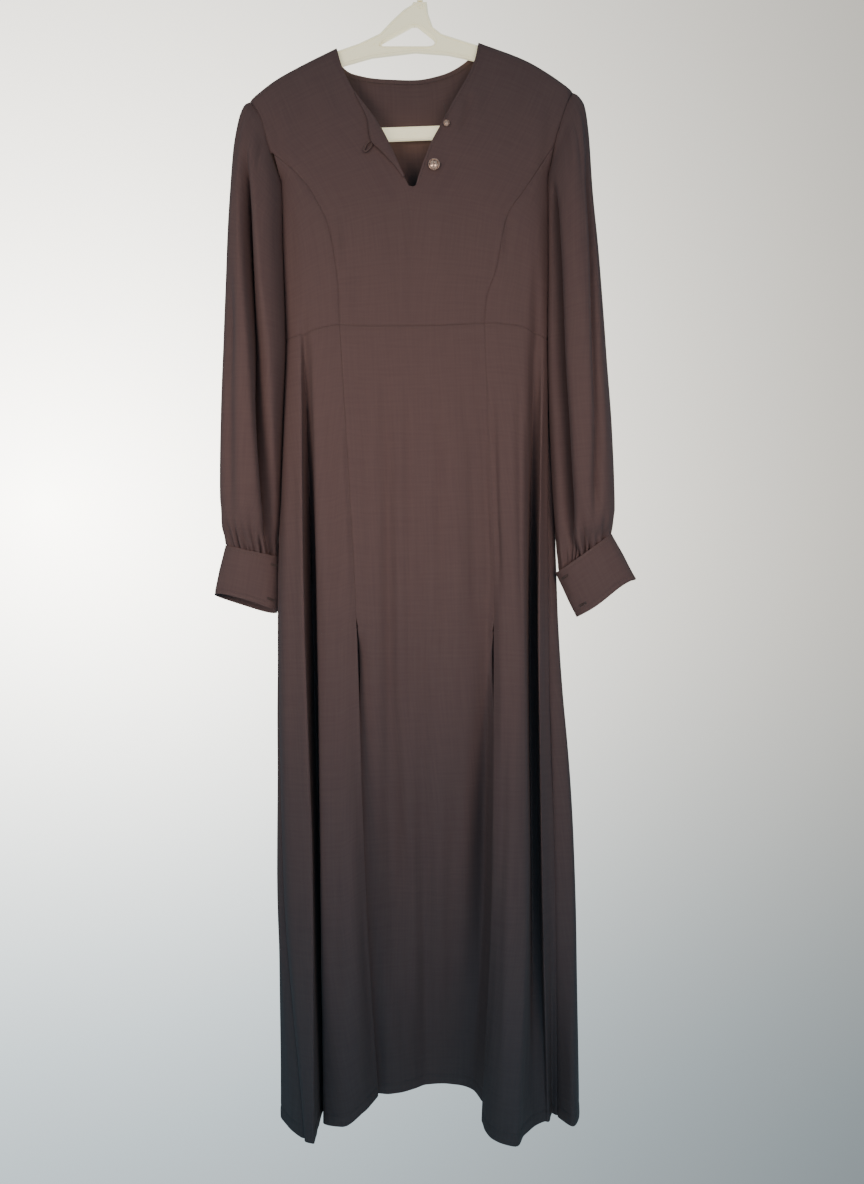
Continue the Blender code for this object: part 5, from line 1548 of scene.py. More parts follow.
@dataclass
class Sleeve:
    """A full sleeve from the armhole to its gathered end, with its cuff.

    A row of the table is a section: name, outer x and z, inner x and z, half depth, centre y.
    A row of the folds: name, direction at the top and at the cuff, start and end as parts of
    the sleeve, depth, width in degrees.  The hem is the cuff's lower section.
    """

    name: str
    form: BodyForm
    room: SewingRoom
    armhole: Line
    which: int
    table: tuple[SleeveRow, ...]
    folds: tuple[SleeveRow, ...]
    hem: tuple[float, ...]
    seed: int
    turns: int = 216
    gather_count: int = 27
    gather_length: float = 46.0
    gather_depth: float = 8.0
    gather_lean: float = -5.0
    cap_folds: tuple[Quad, ...] = (
        (38, 1.6, 9, 0.16), (64, 2.0, 8, 0.22), (96, 1.4, 8, 0.14), (300, 1.8, 9, 0.2),
        (330, 1.3, 8, 0.14), (265, 1.5, 9, 0.16), (14, 1.0, 8, 0.1))
    tuck: float = 2.2
    cuff_up: float = 3.0
    cuff_wider: float = 0.9
    cuff_deeper: float = 0.8
    cuff_wall: float = 1.8
    cuff_overlap: float = 6.2
    tilt: float = 0.28
    wave: float = 0.6
    hole_long: float = 10.0
    hole_pitch: float = 0.55
    hole_thread: float = 0.27
    hole_sides: int = 5
    hole_bends: Line = ((0.25, 0.05), (0.5, 0.32), (1.3, 0.32), (1.55, 0.05))

    def armhole_ring(self, turn: Array) -> Array:
        """Points of the armhole seam; turn 0 is the shoulder and 180 the underarm."""
        share = (1.0 - np.cos(np.radians(turn))) / 2
        flat = smooth_line(self.armhole)(share)
        side = np.where((turn > 0.0) & (turn < 180.0), -1.0, 1.0)
        clear = math.copysign(self.form.underarm_clear, self.armhole[0][0]) * share ** 5
        depth = self.form.edge_depth(self.which, flat[:, 1], side)
        return np.stack((flat[:, 0] + clear, depth, flat[:, 1]), axis=-1)

    def inward(self, part: float, from_cuff: float, turn: Array) -> Array:
        """How far the cloth is drawn in by its folds and gathers."""
        drawn = np.zeros(turn.shape)
        for _name, turn_top, turn_low, start, end, depth, width in self.folds:
            here = turn_top + (turn_low - turn_top) * part
            grown = float(smoothstep(start, start + 0.18, part))
            if end < 1.0:
                grown *= 1.0 - float(smoothstep(end - 0.15, end, part))
            else:
                grown *= 1.0 - 0.8 * float(smoothstep(0.86, 1.0, part))
            drawn = drawn + depth * grown * np.exp(-(turn_between(turn, here) / width) ** 2)
        return drawn + self.gathers(from_cuff, turn) + self.cap_ease(part, turn)

    def gathers(self, from_cuff: float, turn: Array) -> Array:
        """Uneven gathers that run up from the cuff seam."""
        chance = np.random.default_rng(self.seed)
        drawn = np.zeros(turn.shape)
        for k in range(self.gather_count):
            place = 360.0 * (k + 0.28 * chance.uniform(-1, 1)) / self.gather_count
            depth = self.gather_depth * chance.uniform(0.5, 1.4)
            length = self.gather_length * chance.uniform(0.45, 1.5)
            drift = self.gather_lean + chance.uniform(-4, 4)
            width = chance.uniform(2.8, 4.4) * (1.0 + 1.3 * min(1.0, from_cuff / length))
            rise = 1.0 - float(smoothstep(1.0, length, from_cuff))
            here = place + drift * from_cuff / length
            drawn = drawn + depth * rise * np.exp(-(turn_between(turn, here) / width) ** 2)
        return drawn

    def cap_ease(self, part: float, turn: Array) -> Array:
        """Small folds that fall from the top of the sleeve head."""
        drawn = np.zeros(turn.shape)
        for place, depth, width, length in self.cap_folds:
            rise = float(smoothstep(0.0, 0.03, part)) * (1.0 - float(smoothstep(length * 0.4, length, part)))
            drawn = drawn + depth * rise * np.exp(-(turn_between(turn, place) / width) ** 2)
        return drawn

    def build_tube(self) -> None:
        """The sleeve itself."""
        turn = 360.0 * np.arange(self.turns) / self.turns
        rows = np.array([row[1:] for row in self.table], float)
        middles = np.stack(((rows[:, 0] + rows[:, 2]) / 2, (rows[:, 1] + rows[:, 3]) / 2), axis=1)
        start = (np.array(self.armhole[0]) + np.array(self.armhole[-1])) / 2
        run = run_along(np.vstack((start, middles)))
        rings = np.array([self.armhole_ring(turn)] + [tube_point(row, turn) for row in rows])
        rings[0] -= unit(rings[1] - rings[0]) * self.tuck
        hearts = np.stack((middles[:, 0], rows[:, 5], middles[:, 1]), axis=1)
        centres = np.concatenate((rings[:1].mean(axis=1), hearts))
        curves = [[SmoothCurve(run, rings[:, k, axis]) for axis in range(3)] for k in range(self.turns)]
        middle = [SmoothCurve(run, centres[:, axis]) for axis in range(3)]
        total = run[-1]
        places = np.concatenate(([0.0, 1.2, 2.4, 3.6, 5.0], np.linspace(7.5, total - 62.0, 118),
                                 np.linspace(total - 59.0, total - 2.0, 32), [total - 1.0, total]))
        base = np.stack([np.stack([curve(places) for curve in axes], axis=-1) for axes in curves], axis=1)
        heart = np.stack([axis(places) for axis in middle], axis=-1)
        points = base.copy()
        for index, place in enumerate(places):
            way = heart[index] - base[index]
            radius = np.linalg.norm(way, axis=1, keepdims=True)
            drawn = self.inward(place / total, total - place, turn)
            down = np.full(turn.shape, place)
            fine = 0.8 * ripple(turn / 360 * 12 + 20, down, 1.0, 120.0, self.seed + 2)
            fine = fine + 0.35 * ripple(turn / 360 * 30 + 20, down, 1.0, 60.0, self.seed + 3)
            fade = float(smoothstep(0.0, 30.0, place)) * float(smoothstep(0.0, 20.0, total - place))
            # the seams at the armhole and at the cuff draw the cloth in
            dip = 1.9 * max(0.0, 1.0 - place / 7.0) ** 2 + 1.6 * float(smoothstep(6.0, 1.0, total - place))
            moved = np.minimum(drawn + fine * fade + dip, radius[:, 0] * 0.8)
            points[index] = base[index] + way / radius * moved[:, None]
        nodes = tuple(f"sleeve_{self.name}_{length}" for length in ("upper", "middle", "lower"))
        self.room.piece(f"crepe_sleeve_{self.name}", ((ClothGrid(points, True), False),), nodes, "gathered")

    def sections(self) -> tuple[Array, Array]:
        """The cuff's sections at its seam and at its hem."""
        end = np.array(self.table[-1][1:], float)
        run = math.dist(end[0:2], end[2:4])
        sign = math.copysign(1.0, end[0])
        dx = -abs(end[3] - end[1]) / run * self.cuff_up * sign
        dz = abs(end[0] - end[2]) / run * self.cuff_up
        wider = sign * self.cuff_wider
        seam = end + np.array((dx + wider, dz, dx - wider, dz, self.cuff_deeper, 0.0))
        return seam, np.array(self.hem, float)

    def cuff_inward(self, turn: Array) -> Array:
        """The cuff's under end lies inside its upper end."""
        return self.cuff_overlap * smoothstep(110.0, 176.0, -turn)

    def cuff_at(self, turn: Array, share: Array) -> Array:
        """Points of the cuff.

        Args:
            turn: directions round it.
            share: 0 at its seam and 1 at its hem.

        Returns:
            The points.
        """
        seam, hem = self.sections()
        inward = self.cuff_inward(turn)
        rows = np.array([tube_point(seam + (hem - seam) * s, turn, inward) for s in share])
        behind = rows[..., 1] - rows[..., 1].mean()
        rows[..., 2] -= self.tilt * behind * share[:, None]
        wave = np.sin(np.radians((100.0 - turn) * 2.6)) * self.wave * smoothstep(0.3, 1.0, share)[:, None]
        rows[..., 2] += wave * smoothstep(170.0, 60.0, np.abs(turn))[None]
        return rows

    def build_cuff(self) -> None:
        """The cuff band, open at its inner side where its ends lap, with its stitching."""
        turn = np.linspace(176.0, -192.0, 150)
        share = np.concatenate(([0.0, 0.015, 0.035], np.linspace(0.07, 0.93, 26), [0.965, 0.985, 1.0]))
        grid = ClothGrid(self.cuff_at(turn, share))
        u, v = grid.grain[..., 0] + 400.0, grid.grain[..., 1] + 100.0
        gap = grid.edge_gap(True, True, True, True)
        height = ripples(u, v, self.seed + 6, (0.55, 20.0, 34.0), (0.25, 8.0, 12.0))
        height = height - 0.4 * np.exp(-((gap - 3.0) / 0.9) ** 2) * (np.abs(turn)[None, :] < 175)
        height = height * (1 - smoothstep(-112, -150, -np.abs(turn)[None, :] * (turn[None, :] < 0)))
        grid = grid.lifted(height)
        out = self.outward(grid)
        rows = []
        seen = slice(4, 128)
        for name, row in (("seam", 3), ("hem", len(share) - 5)):
            off = out[row, seen]
            points = grid.points[row, seen] + off * 0.35
            rows.append(self.room.stitches(f"stitching_cuff_{self.name}_{name}", points, off, 2.4, 0.8, 0.4))
        for number, (share_at, start) in enumerate(((0.16, 7.5), (0.84, 12.5)), 1):
            row = int(np.argmin(np.abs(share - share_at)))
            name = f"stitching_buttonhole_{self.name}_{number}"
            rows.append(self.buttonhole(name, grid, out, row, start))
        self.room.piece(f"crepe_cuff_{self.name}", ((grid, False),), (f"cuff_{self.name}",), "hung",
                        self.cuff_wall, with_pieces=rows)

    def buttonhole(self, name: str, grid: ClothGrid, out: Array, row: int, start: float) -> Piece:
        """A buttonhole: close stitches on both sides of a slit, near the lap's end.

        Args:
            name: the piece's name.
            grid: the cuff.
            out: directions off it.
            row: the row that the slit runs along.
            start: how far from the lap's end it begins.

        Returns:
            The stitches as one piece.
        """
        run = run_along(grid.points[row])
        down = unit(grid.points[row + 1] - grid.points[row])
        verts, faces = [], []
        for side in (-1.0, 1.0):
            for at in start + np.arange(0.0, self.hole_long, self.hole_pitch):
                here, off, way = (between(at, run, values) for values in (grid.points[row], out[row], down))
                off = unit(off)
                round_it = circle(self.hole_sides) @ np.stack((np.cross(way, off), off)) * self.hole_thread
                faces += rod_faces(len(verts), len(self.hole_bends), self.hole_sides)
                for reach, lift in self.hole_bends:
                    verts.extend(here + way * side * reach + off * (self.cuff_wall / 2 + lift) + round_it)
        return self.room.solid(name, verts, faces, self.room.thread, Slot.CLOTH)

    def outward(self, grid: ClothGrid) -> Array:
        """Directions off the cuff, away from its middle."""
        normal = grid.normals()
        heart = grid.points.mean(axis=1, keepdims=True)
        if ((grid.points - heart) * normal).sum(axis=2).mean() < 0:
            normal = -normal
        return normal

    def build(self) -> None:
        """Build the sleeve and its cuff."""
        self.build_tube()
        self.build_cuff()


@dataclass
class NeckTrim:
    """The turned-back front edge with its loop, the buttons and a loose thread.

    A button is its width, its thickness, and its place's x and z.
    """

    form: BodyForm
    room: SewingRoom
    pearl: Material
    facing_from: tuple[float, float] = (-79.5, -196.0)
    facing_to: tuple[float, float] = (-18.5, -304.0)
    widths: Line = ((-314.0, 1.0), (-295.0, 4.0), (-265.0, 14.0), (-252.0, 19.0), (-240.0, 15.5),
                    (-225.0, 8.0), (-196.0, 1.0))
    wall: float = 1.2
    loop_middle: tuple[float, float] = (-63.5, -266.0)
    loop_turn: float = 238.0
    loop_thick: float = 2.5
    thread_thick: float = 0.45
    neck_button: Quad = (14.4, 3.2, 17.5, -289.0)
    top_button: Quad = (8.0, 2.2, 33.0, -237.0)
    button_rim: Line = ((0.9, -0.5), (1.0, -0.22), (1.0, 0.1), (0.955, 0.36), (0.885, 0.46), (0.83, 0.36),
                        (0.80, 0.18))
    button_dome: Line = ((0.80, 0.18), (0.60, 0.52), (0.36, 0.74), (0.14, 0.84))
    button_sides: int = 48

    def build_facing(self) -> None:
        """The left front edge, turned back so that its inside and its seam show."""
        form = self.form
        line = smooth_line(form.neck_front_left)
        start = nearest_share(form.neck_front_left, self.facing_from)
        end = nearest_share(form.neck_front_left, self.facing_to)
        wide_at = SmoothCurve(*zip(*self.widths))
        places = np.linspace(start, end, 64)
        shares = np.concatenate((np.linspace(0.0, 0.86, 11), [0.92, 0.97, 1.0]))
        edge = line(places)
        way = unit(line(places + 0.01) - line(places - 0.01))
        out = np.stack((way[:, 1], -way[:, 0]), axis=1)
        wide = wide_at(edge[:, 1])
        flat = edge[:, None] + out[:, None] * (wide[:, None] * shares[None])[..., None]
        x, z = flat[..., 0], flat[..., 1]
        proud = 1.6 + 3.8 * shares[None] * smoothstep(2.0, 18.0, wide)[:, None]
        proud = proud + 0.8 * np.sin(math.pi * shares[None]) * smoothstep(4.0, 14.0, wide)[:, None]
        proud = proud + 0.5 * ripple(x + 300, z + 800, 9.0, 16.0, 41) * shares[None]
        proud = proud - 1.3 * smoothstep(0.9, 1.0, shares)[None] * smoothstep(2.0, 10.0, wide)[:, None]
        y = form.depth(x, z, Face.FRONT) - proud
        grid = ClothGrid(np.stack((x, y, z), axis=-1))
        row = grid.points[6:-4, 11]
        seam = self.room.stitches("stitching_facing", row, straight_out(len(row)), 2.0, 0.8, 0.36)
        self.room.piece("crepe_facing_turned_back", ((grid, False),), ("front_facing_turned_back",), "folded",
                        self.wall, with_pieces=[seam])

    def tube(self, points: Array, thick: float, sides: int, closed: bool,
             flat: float = 1.0) -> tuple[Array, Sequence[Sequence[int]]]:
        """A round or flattened cord through points.

        Args:
            points: the middle of the cord.
            thick: its thickness.
            sides: sides of its section.
            closed: whether it runs round.
            flat: its depth as a part of its width.

        Returns:
            Points and faces.
        """
        if closed:
            way = unit(np.roll(points, -1, axis=0) - np.roll(points, 1, axis=0))
        else:
            way = unit(np.gradient(points, axis=0))
        side = unit(np.cross(way, np.array([0.0, 1.0, 0.0])))
        off = np.cross(side, way)
        ring = circle(sides) @ np.stack((side, off * flat), axis=1)
        verts = (points[:, None] + ring * thick / 2).reshape(-1, 3)
        if closed:
            return verts, net_faces(0, len(points), sides, closed=True, again=True)
        return verts, rod_faces(0, len(points), sides)

    def build_loop(self) -> None:
        """The buttonhole loop, a narrow tube of cloth sewn at both ends."""
        along = math.radians(self.loop_turn)
        across, up = circle(56).T
        u, w = 8.0 * across, 3.0 * up * (1.0 + 0.12 * across)
        x = self.loop_middle[0] + u * math.cos(along) - w * math.sin(along)
        z = self.loop_middle[1] + u * math.sin(along) + w * math.cos(along)
        y = self.form.depth(x, z, Face.FRONT) - 2.6 - 0.8 * across
        verts, faces = self.tube(np.stack((x, y, z), axis=1), self.loop_thick, 10, True, 0.8)
        cloth = self.room.cloth_plain
        self.room.solid("crepe_button_loop", verts, faces, cloth, Slot.CLOTH, ("button_loop",))

    def build_button(self, name: str, node: str, size: Quad, facets: int) -> None:
        """A button with a turned rim round a cut dome.

        Args:
            name: the piece's name.
            node: the solid it stands for.
            size: width, thickness, x and z.
            facets: facets round the dome.
        """
        width, thick, x, z = size
        y = float(self.form.depth(x, z, Face.FRONT)) - 0.6 - thick / 2 - 0.6

        def ring(share: float, high: float, turns: Array) -> Array:
            """Points round the button, at a part of its radius and of its thickness."""
            across, up = (width / 2 * share * turns).T
            return np.stack((x + across, np.full(len(turns), y - high * thick), z + up), axis=1)

        sides = self.button_sides
        rings = [ring(share, high, circle(sides)) for share, high in self.button_rim]
        faces = [*net_faces(0, len(rings), sides, closed=True), range(sides - 1, -1, -1)]
        base = sides * len(rings)
        rings += [ring(share, high, circle(facets, 0.5 * (level % 2)))
                  for level, (share, high) in enumerate(self.button_dome)]
        levels = len(self.button_dome) - 1
        for level in range(levels):
            for k in range(facets):
                a, b = base + level * facets + k, base + level * facets + (k + 1) % facets
                c, d = a + facets, b + facets
                faces.extend(((a, b, c), (b, d, c)) if level % 2 == 0 else ((a, b, d), (a, d, c)))
        faces.append(range(base + levels * facets, base + (levels + 1) * facets))
        item = self.room.solid(name, np.concatenate(rings), faces, self.pearl, Slot.BUTTON, (node,))
        item.data.set_sharp_from_angle(angle=math.radians(24.0))

    def build_thread(self) -> None:
        """The loose thread above the small button."""
        t = np.linspace(0.0, 1.0, 16)
        x = 31.5 - 3.0 * t + 1.6 * np.sin(2.4 * t)
        z = -231.0 + 19.0 * t
        y = self.form.depth(x, z, Face.FRONT) - 1.6 - 2.2 * np.sin(math.pi * t)
        verts, faces = self.tube(np.stack((x, y, z), axis=1), self.thread_thick, 6, False)
        self.room.solid("stitching_loose_thread", verts, faces, self.room.thread, Slot.CLOTH)

    def build(self) -> None:
        """Build the neck's trim."""
        self.build_facing()
        self.build_loop()
        self.build_button("button_neck_cut", "neck_button", self.neck_button, 10)
        self.build_button("button_top_small", "top_button", self.top_button, 8)
        self.build_thread()


def redress(solid: Piece, material: Material) -> None:
    """Give one of the part's own solids its finish."""
    for place in solid.material_slots:
        place.material = material


@dataclass
class Hanger:
    """The moulded hanger: the part's own solids, with the raised rims and marks of the mould."""

    room: SewingRoom
    plastic: Material
    nodes: dict[str, Piece]
    thick: float = 8.0
    bar_thick: float = 6.0
    rim_step: float = 2.5
    rim_profile: Line = ((0.0, -0.3), (0.0, 0.55), (0.25, 0.9), (0.5, 1.0), (0.75, 0.9), (1.0, 0.55),
                         (1.0, -0.3))
    mark_sides: int = 28
    outer: Line = ((-8.5, -78.6), (-10, -82), (-20, -88), (-35, -102), (-50, -118), (-76, -130.5),
                   (-104, -140.2), (-127, -151), (-150, -163.4), (-180, -180.4), (-196, -193),
                   (-201, -199), (-201, -206), (-195, -209),
                   (-180, -198), (-150, -181), (-125, -170), (-97, -158), (-60, -147.5),
                   (-6, -141), (35, -144), (70, -151.5), (100, -161), (130, -174), (160, -191.5),
                   (170, -199), (176, -196), (177.5, -189.5),
                   (172.5, -181), (162, -173.4), (133, -156.4), (104, -144), (73, -133.2),
                   (44, -124), (27, -118.5), (16, -110), (10.5, -94), (8.5, -78.6))
    hole: Line = ((-7, -107.5), (-3, -109), (17, -125), (19, -129), (16, -133), (8, -133.8),
                  (-44, -133.8), (-49, -133), (-48, -130))
    bar: Line = ((-195, -209.4), (-186, -203.2), (-182, -222), (-176, -233), (-166, -238.6),
                 (-49, -235.6), (26, -233), (142, -228.6), (151, -224), (156, -214), (157, -190.9),
                 (166, -196.3), (166.5, -218), (162, -233), (152, -243.6), (140, -245.2),
                 (16, -249.4), (-41, -251.6), (-166, -255.2), (-180, -250), (-190, -238),
                 (-195, -224))

    def rim(self, name: str, outline: Line, inset: float, wide: float, high: float, thick: float) -> None:
        """A raised rim along an outline, on both faces of the plate.

        Args:
            name: the piece's name.
            outline: the plate's edge.
            inset: distance from the edge.
            wide: width of the rim.
            high: how far it stands up.
            thick: thickness of the plate.
        """
        corners = np.array(outline, float)
        points = []
        for corner, following in zip(corners, np.roll(corners, -1, axis=0)):
            steps = max(2, int(math.dist(corner, following) / self.rim_step) + 1)
            points.append(corner + (following - corner) * np.linspace(0, 1, steps)[:-1, None])
        points = np.concatenate(points)
        for _ in range(3):
            points = (np.roll(points, 1, axis=0) + 2 * points + np.roll(points, -1, axis=0)) / 4
        following = np.roll(points, -1, axis=0)
        way = unit(following - np.roll(points, 1, axis=0))
        inward = np.stack((-way[:, 1], way[:, 0]), axis=1)
        if float((points[:, 0] * following[:, 1] - following[:, 0] * points[:, 1]).sum()) < 0:
            inward = -inward
        verts, faces = [], []
        for face in (-1.0, 1.0):
            faces.extend(net_faces(len(verts), len(points), len(self.rim_profile), again=True, over=face > 0))
            for point, way_in in zip(points, inward):
                for share, up in self.rim_profile:
                    x, z = point + way_in * (inset + wide * share)
                    verts.append((x, face * (thick / 2 + high * up), z))
        self.room.solid(name, verts, faces, self.plastic, Slot.HANGER)

    def ring_mark(self, name: str, x: float, z: float, radius: float, hole: float, high: float,
                  thick: float) -> None:
        """A round boss or pin mark left by the mould, on both faces of the plate.

        Args:
            name: the piece's name.
            x, z: its place.
            radius: its outer radius.
            hole: radius of the hollow in it.
            high: how far it stands up.
            thick: thickness of the plate.
        """
        profile = ((hole, -0.2), (hole * 1.05, high * 0.8), (hole + (radius - hole) * 0.3, high),
                   (radius * 0.88, high), (radius, high * 0.5), (radius, -0.2))
        verts, faces = [], []
        for face in (-1.0, 1.0):
            faces.extend(net_faces(len(verts), self.mark_sides, len(profile), again=True))
            for across, up in circle(self.mark_sides):
                verts.extend((x + r * across, face * (thick / 2 + lift), z + r * up) for r, lift in profile)
        self.room.solid(name, verts, faces, self.plastic, Slot.HANGER)

    def build(self) -> None:
        """Dress the solids and add the rims and marks."""
        for node in ("hanger_frame", "hanger_bar", "hanger_hook"):
            redress(self.nodes[node], self.plastic)
        self.rim("hanger_rim_outer", self.outer, 1.6, 1.7, 0.8, self.thick)
        self.rim("hanger_rim_hole", self.hole, -3.3, 1.6, 0.8, self.thick)
        self.rim("hanger_rim_bar", self.bar, 1.0, 1.5, 0.7, self.bar_thick)
        self.ring_mark("hanger_boss", 0.0, -85.0, 3.4, 1.5, 0.9, self.thick)
        self.ring_mark("hanger_mark_left", -57.0, -132.0, 1.3, 0.5, 0.25, self.thick)
        self.ring_mark("hanger_mark_right", 45.0, -134.0, 1.3, 0.5, 0.25, self.thick)
        self.ring_mark("hanger_mark_bar", -6.0, -242.6, 1.6, 0.7, 0.3, self.bar_thick)


@dataclass(frozen=True)
class SoftBox:
    """A soft box: place, aim, width and height in metres, power in watts, its grid's spread in degrees."""

    name: str
    place: Triple
    aim: Triple
    size: tuple[float, float]
    power: float
    colour: str
    spread: float

    def build(self) -> None:
        """Set up the soft box."""
        data = bpy.data.lights.new(self.name, "AREA")
        data.shape = "RECTANGLE"
        data.size, data.size_y = self.size
        data.energy = self.power
        data.color = linear(self.colour)[:3]
        data.spread = math.radians(self.spread)
        lamp = bpy.data.objects.new(self.name, data)
        lamp.location = self.place
        x, y, z = np.array(self.aim) - np.array(self.place)
        quarter = math.pi / 2
        lamp.rotation_euler = (quarter + math.atan2(z, math.hypot(x, y)), 0.0, math.atan2(y, x) - quarter)
        bpy.context.scene.collection.objects.link(lamp)


@dataclass
class Studio:
    """A plain pale floor, soft light, and the camera at the photograph's viewing angle."""

    camera_place: Triple = (0.015, -1.25, -0.815)
    focal_px: float = 1000.0
    image_tall: int = 1184
    sensor_mm: float = 36.0
    floor_z: float = -1.95
    floor_reach: float = 0.66
    floor_sides: int = 96
    floor_glow: float = 0.5
    floor_colour: str = "#d8d6d2"
    floor_light: str = "#e6ded2"
    wall_high: str = "#e0dcd2"
    wall_low: str = "#a3afb4"
    glow: float = 13.0
    glow_fade: float = 3.1
    glow_at: Triple = (-0.36, 0.0, 0.08)
    fill_colour: str = "#9ad6ee"
    fill_strength: float = 0.38
    boxes: tuple[SoftBox, ...] = (
        SoftBox("window_soft_box",
                (0.70, -1.46, -0.58), (0.0, 0.0, -0.66), (0.9, 0.5), 1.75, "#ffe4d2", 58.0),
        SoftBox("room_soft_box",
                (-1.05, -1.34, -0.54), (-0.20, 0.0, -0.57), (0.8, 0.5), 1.88, "#ffe6d4", 56.0),
        SoftBox("low_soft_box",
                (0.0, -1.4, -1.36), (0.0, 0.0, -1.30), (1.0, 0.4), 0.43, "#93ddff", 58.0),
        SoftBox("rear_soft_box",
                (0.2, 2.4, -0.3), (0.0, 0.0, -0.8), (2.2, 1.2), 24.0, "#fff3e6", 120.0),
    )

    def build_camera(self) -> None:
        """Set the camera level, facing the front of the dress."""
        data = bpy.data.cameras.new("studio_camera")
        data.sensor_fit = "VERTICAL"
        data.sensor_height = self.sensor_mm
        data.lens = self.focal_px / self.image_tall * self.sensor_mm
        camera = bpy.data.objects.new("studio_camera", data)
        camera.location = self.camera_place
        camera.rotation_euler = (math.radians(90.0), 0.0, 0.0)
        bpy.context.scene.collection.objects.link(camera)
        bpy.context.scene.camera = camera

    def build_surroundings(self) -> None:
        """A pale wall that is brightest at the upper left, and the cool light that the room throws back."""
        world = bpy.data.worlds.new("studio_surroundings")
        world.use_nodes = True
        tree = world.node_tree
        pen = NodePen(tree)
        way = pen.add("SeparateXYZ", {"Vector": pen.add("TexCoord", {}, "Generated")}).node.outputs
        share = pen.add("MapRange", {"Value": way["Z"], "From Min": -0.50, "From Max": 0.10},
                        interpolation_type="SMOOTHSTEP")
        flat = pen.add("CombineXYZ", {"X": way["X"], "Z": way["Z"]})
        apart = pen.add("VectorMath", {0: flat, 1: self.glow_at}, "Value", operation="DISTANCE")
        fade = pen.maths("EXPONENT", pen.maths("MULTIPLY", apart, -self.glow_fade))
        wall = pen.add("Background", {"Color": pen.mix(share, self.wall_low, self.wall_high),
                                      "Strength": pen.maths("MULTIPLY", fade, self.glow)})
        fill = tree.nodes["Background"]
        pen.wire(fill, {"Color": linear(self.fill_colour), "Strength": self.fill_strength})
        seen = pen.add("LightPath", {}, "Is Camera Ray")
        both = pen.add("MixShader", {0: seen, 1: fill.outputs[0], 2: wall})
        pen.wire(tree.nodes["World Output"], {"Surface": both})
        bpy.context.scene.world = world

    def build_floor(self) -> None:
        """The round floor, which glows a little only where the camera sees it."""
        mesh = bpy.data.meshes.new("studio_floor")
        ring = circle(self.floor_sides) * self.floor_reach
        mesh.from_pydata([(x, y, self.floor_z) for x, y in ring], [], [tuple(range(self.floor_sides))])
        floor = bpy.data.objects.new("studio_floor", mesh)
        bpy.context.scene.collection.objects.link(floor)
        material, pen, shader = new_material("matt_painted_board")
        seen = pen.add("LightPath", {}, "Is Camera Ray")
        pen.wire(shader, {"Base Color": linear(self.floor_colour), "Roughness": 0.9,
                          "Emission Color": linear(self.floor_light),
                          "Emission Strength": pen.maths("MULTIPLY", seen, self.floor_glow)})
        mesh.materials.append(material)

    def build(self) -> None:
        """Build the floor, the surroundings, the lights and the camera."""
        self.build_floor()
        self.build_surroundings()
        for box in self.boxes:
            box.build()
        self.build_camera()


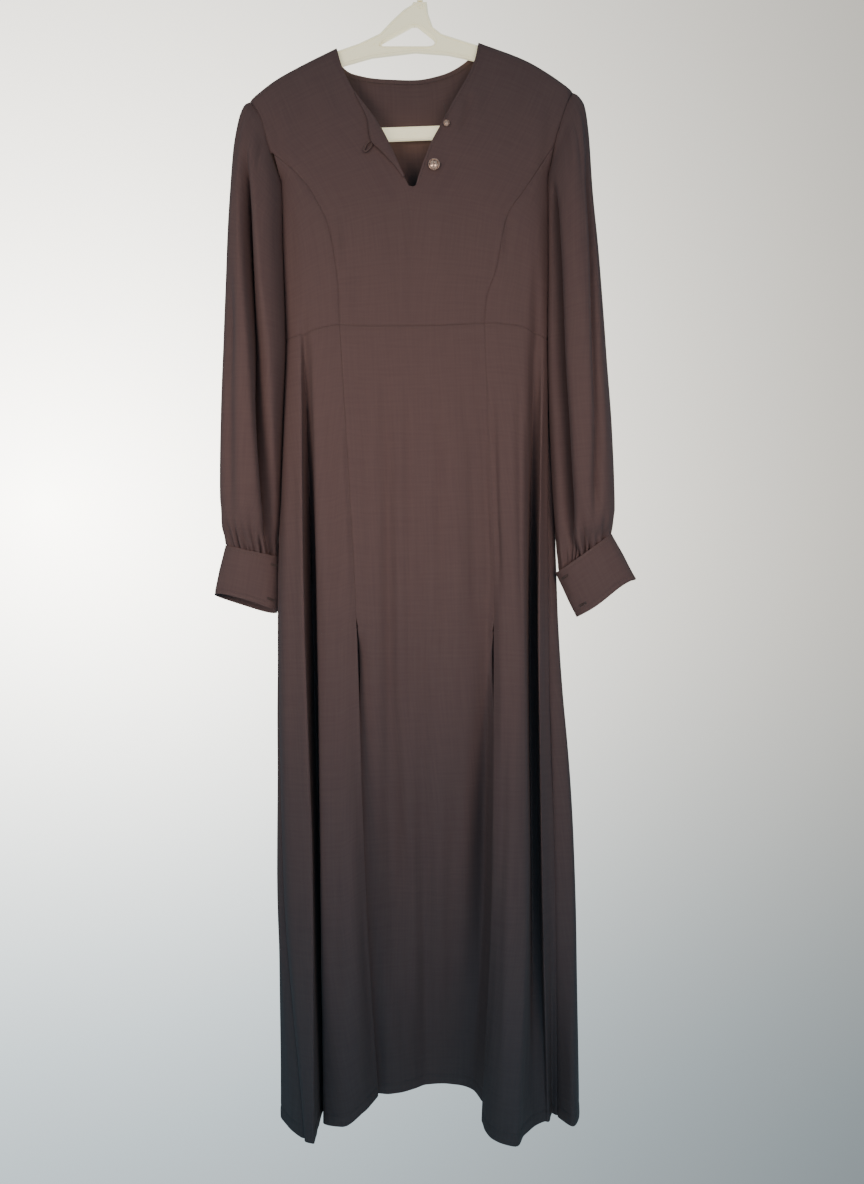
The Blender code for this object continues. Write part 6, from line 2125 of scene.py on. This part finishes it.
def sleeves(form: BodyForm, room: SewingRoom) -> tuple[Sleeve, Sleeve]:
    """The left and the right sleeve, with their sections and folds."""
    left = Sleeve("left", form, room, form.armhole_left, 0, (
        ("cap", -219, -207, -173.2, -307, 14, 0),
        ("cap puff", -228, -231, -172.4, -318, 21, 0),
        ("upper arm", -233, -264, -172.0, -336, 28, 1),
        ("arm", -237, -325, -171.8, -375, 35, 2),
        ("above elbow", -240.5, -392, -170.2, -422, 40, 3),
        ("elbow", -244.5, -499, -168.0, -508, 44, 4),
        ("forearm", -248.5, -600, -172.2, -603, 46, 5),
        ("full part", -250, -680, -174.6, -682, 45, 6),
        ("above gathers", -250, -722, -176.4, -732, 38, 9),
        ("gathers", -247, -748, -177.4, -762, 27, 11),
        ("cuff seam", -244.5, -759, -178.2, -774, 21.5, 12),
    ), (
        ("front valley", 57, 150, 0.05, 1.0, 34.0, 11),
        ("outer front hollow", 30, 62, 0.30, 0.97, 6.5, 15),
        ("back valley", 300, 238, 0.10, 1.0, 16.0, 18),
        ("back hollow", 250, 292, 0.40, 0.97, 7.0, 16),
    ), (-259, -818, -175.5, -842, 19, 14), 21)
    right = Sleeve("right", form, room, form.armhole_right, 1, (
        ("cap", 197, -195, 159.8, -298, 14, 0),
        ("cap puff", 205.5, -208, 159.4, -309, 21, 0),
        ("upper arm", 210, -236, 159.6, -328, 28, 1),
        ("arm", 215.5, -318, 159.9, -368, 35, 2),
        ("above elbow", 221.5, -380, 160.4, -414, 40, 3),
        ("elbow", 232.5, -524, 160.4, -530, 44, 2),
        ("forearm", 239, -610, 163.0, -616, 46, 0),
        ("full part", 241.5, -680, 165.8, -690, 45, -2),
        ("above gathers", 242, -718, 168.6, -742, 37, -4),
        ("gathers", 240.5, -734, 171.0, -775, 26, -5),
        ("cuff seam", 238, -744, 172, -793, 20.5, -6),
    ), (
        ("front valley", 150, 134, 0.02, 1.0, 26.0, 13),
        ("outer front hollow", 34, 82, 0.04, 0.97, 9.0, 9),
        ("back valley", 246, 290, 0.10, 1.0, 16.0, 18),
        ("back hollow", 305, 248, 0.40, 0.97, 6.5, 16),
    ), (268, -797, 195, -846, 18, -6), 33, gather_lean=12.0, tilt=0.0, wave=2.6)
    return left, right


def main() -> None:
    """Build the dress and the studio in order."""
    logging.basicConfig(level=logging.INFO, format="%(message)s")
    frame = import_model()
    room = SewingRoom(CrepeWeave().dress(), BiasTube().dress(), SewingThread().dress())
    # the ivory hanger plastic gets a painted glow of 0.82, painted darker in its corners by occlusion
    ivory = MouldedPlastic("moulded_polypropylene_ivory", "#f6ecc8", "#eee2ba", 0.46, 1.3, 0.22, 0.0, 0.82)
    horn = MouldedPlastic("polished_resin_horn", "#6b5147", "#3f2e28", 0.26, 2.0, 0.05, 0.5).dress()
    form = BodyForm()
    Bodice(form, room).build()
    NeckTrim(form, room, CutPearl().dress()).build()
    Hanger(room, ivory.dress(), frame["nodes"]).build()
    for name, node in frame["nodes"].items():
        if name.startswith("cuff_button"):
            redress(node, horn)
    Skirt(form, room).build()
    for sleeve in sleeves(form, room):
        sleeve.build()
    Studio().build()


if __name__ == "__main__":
    main()
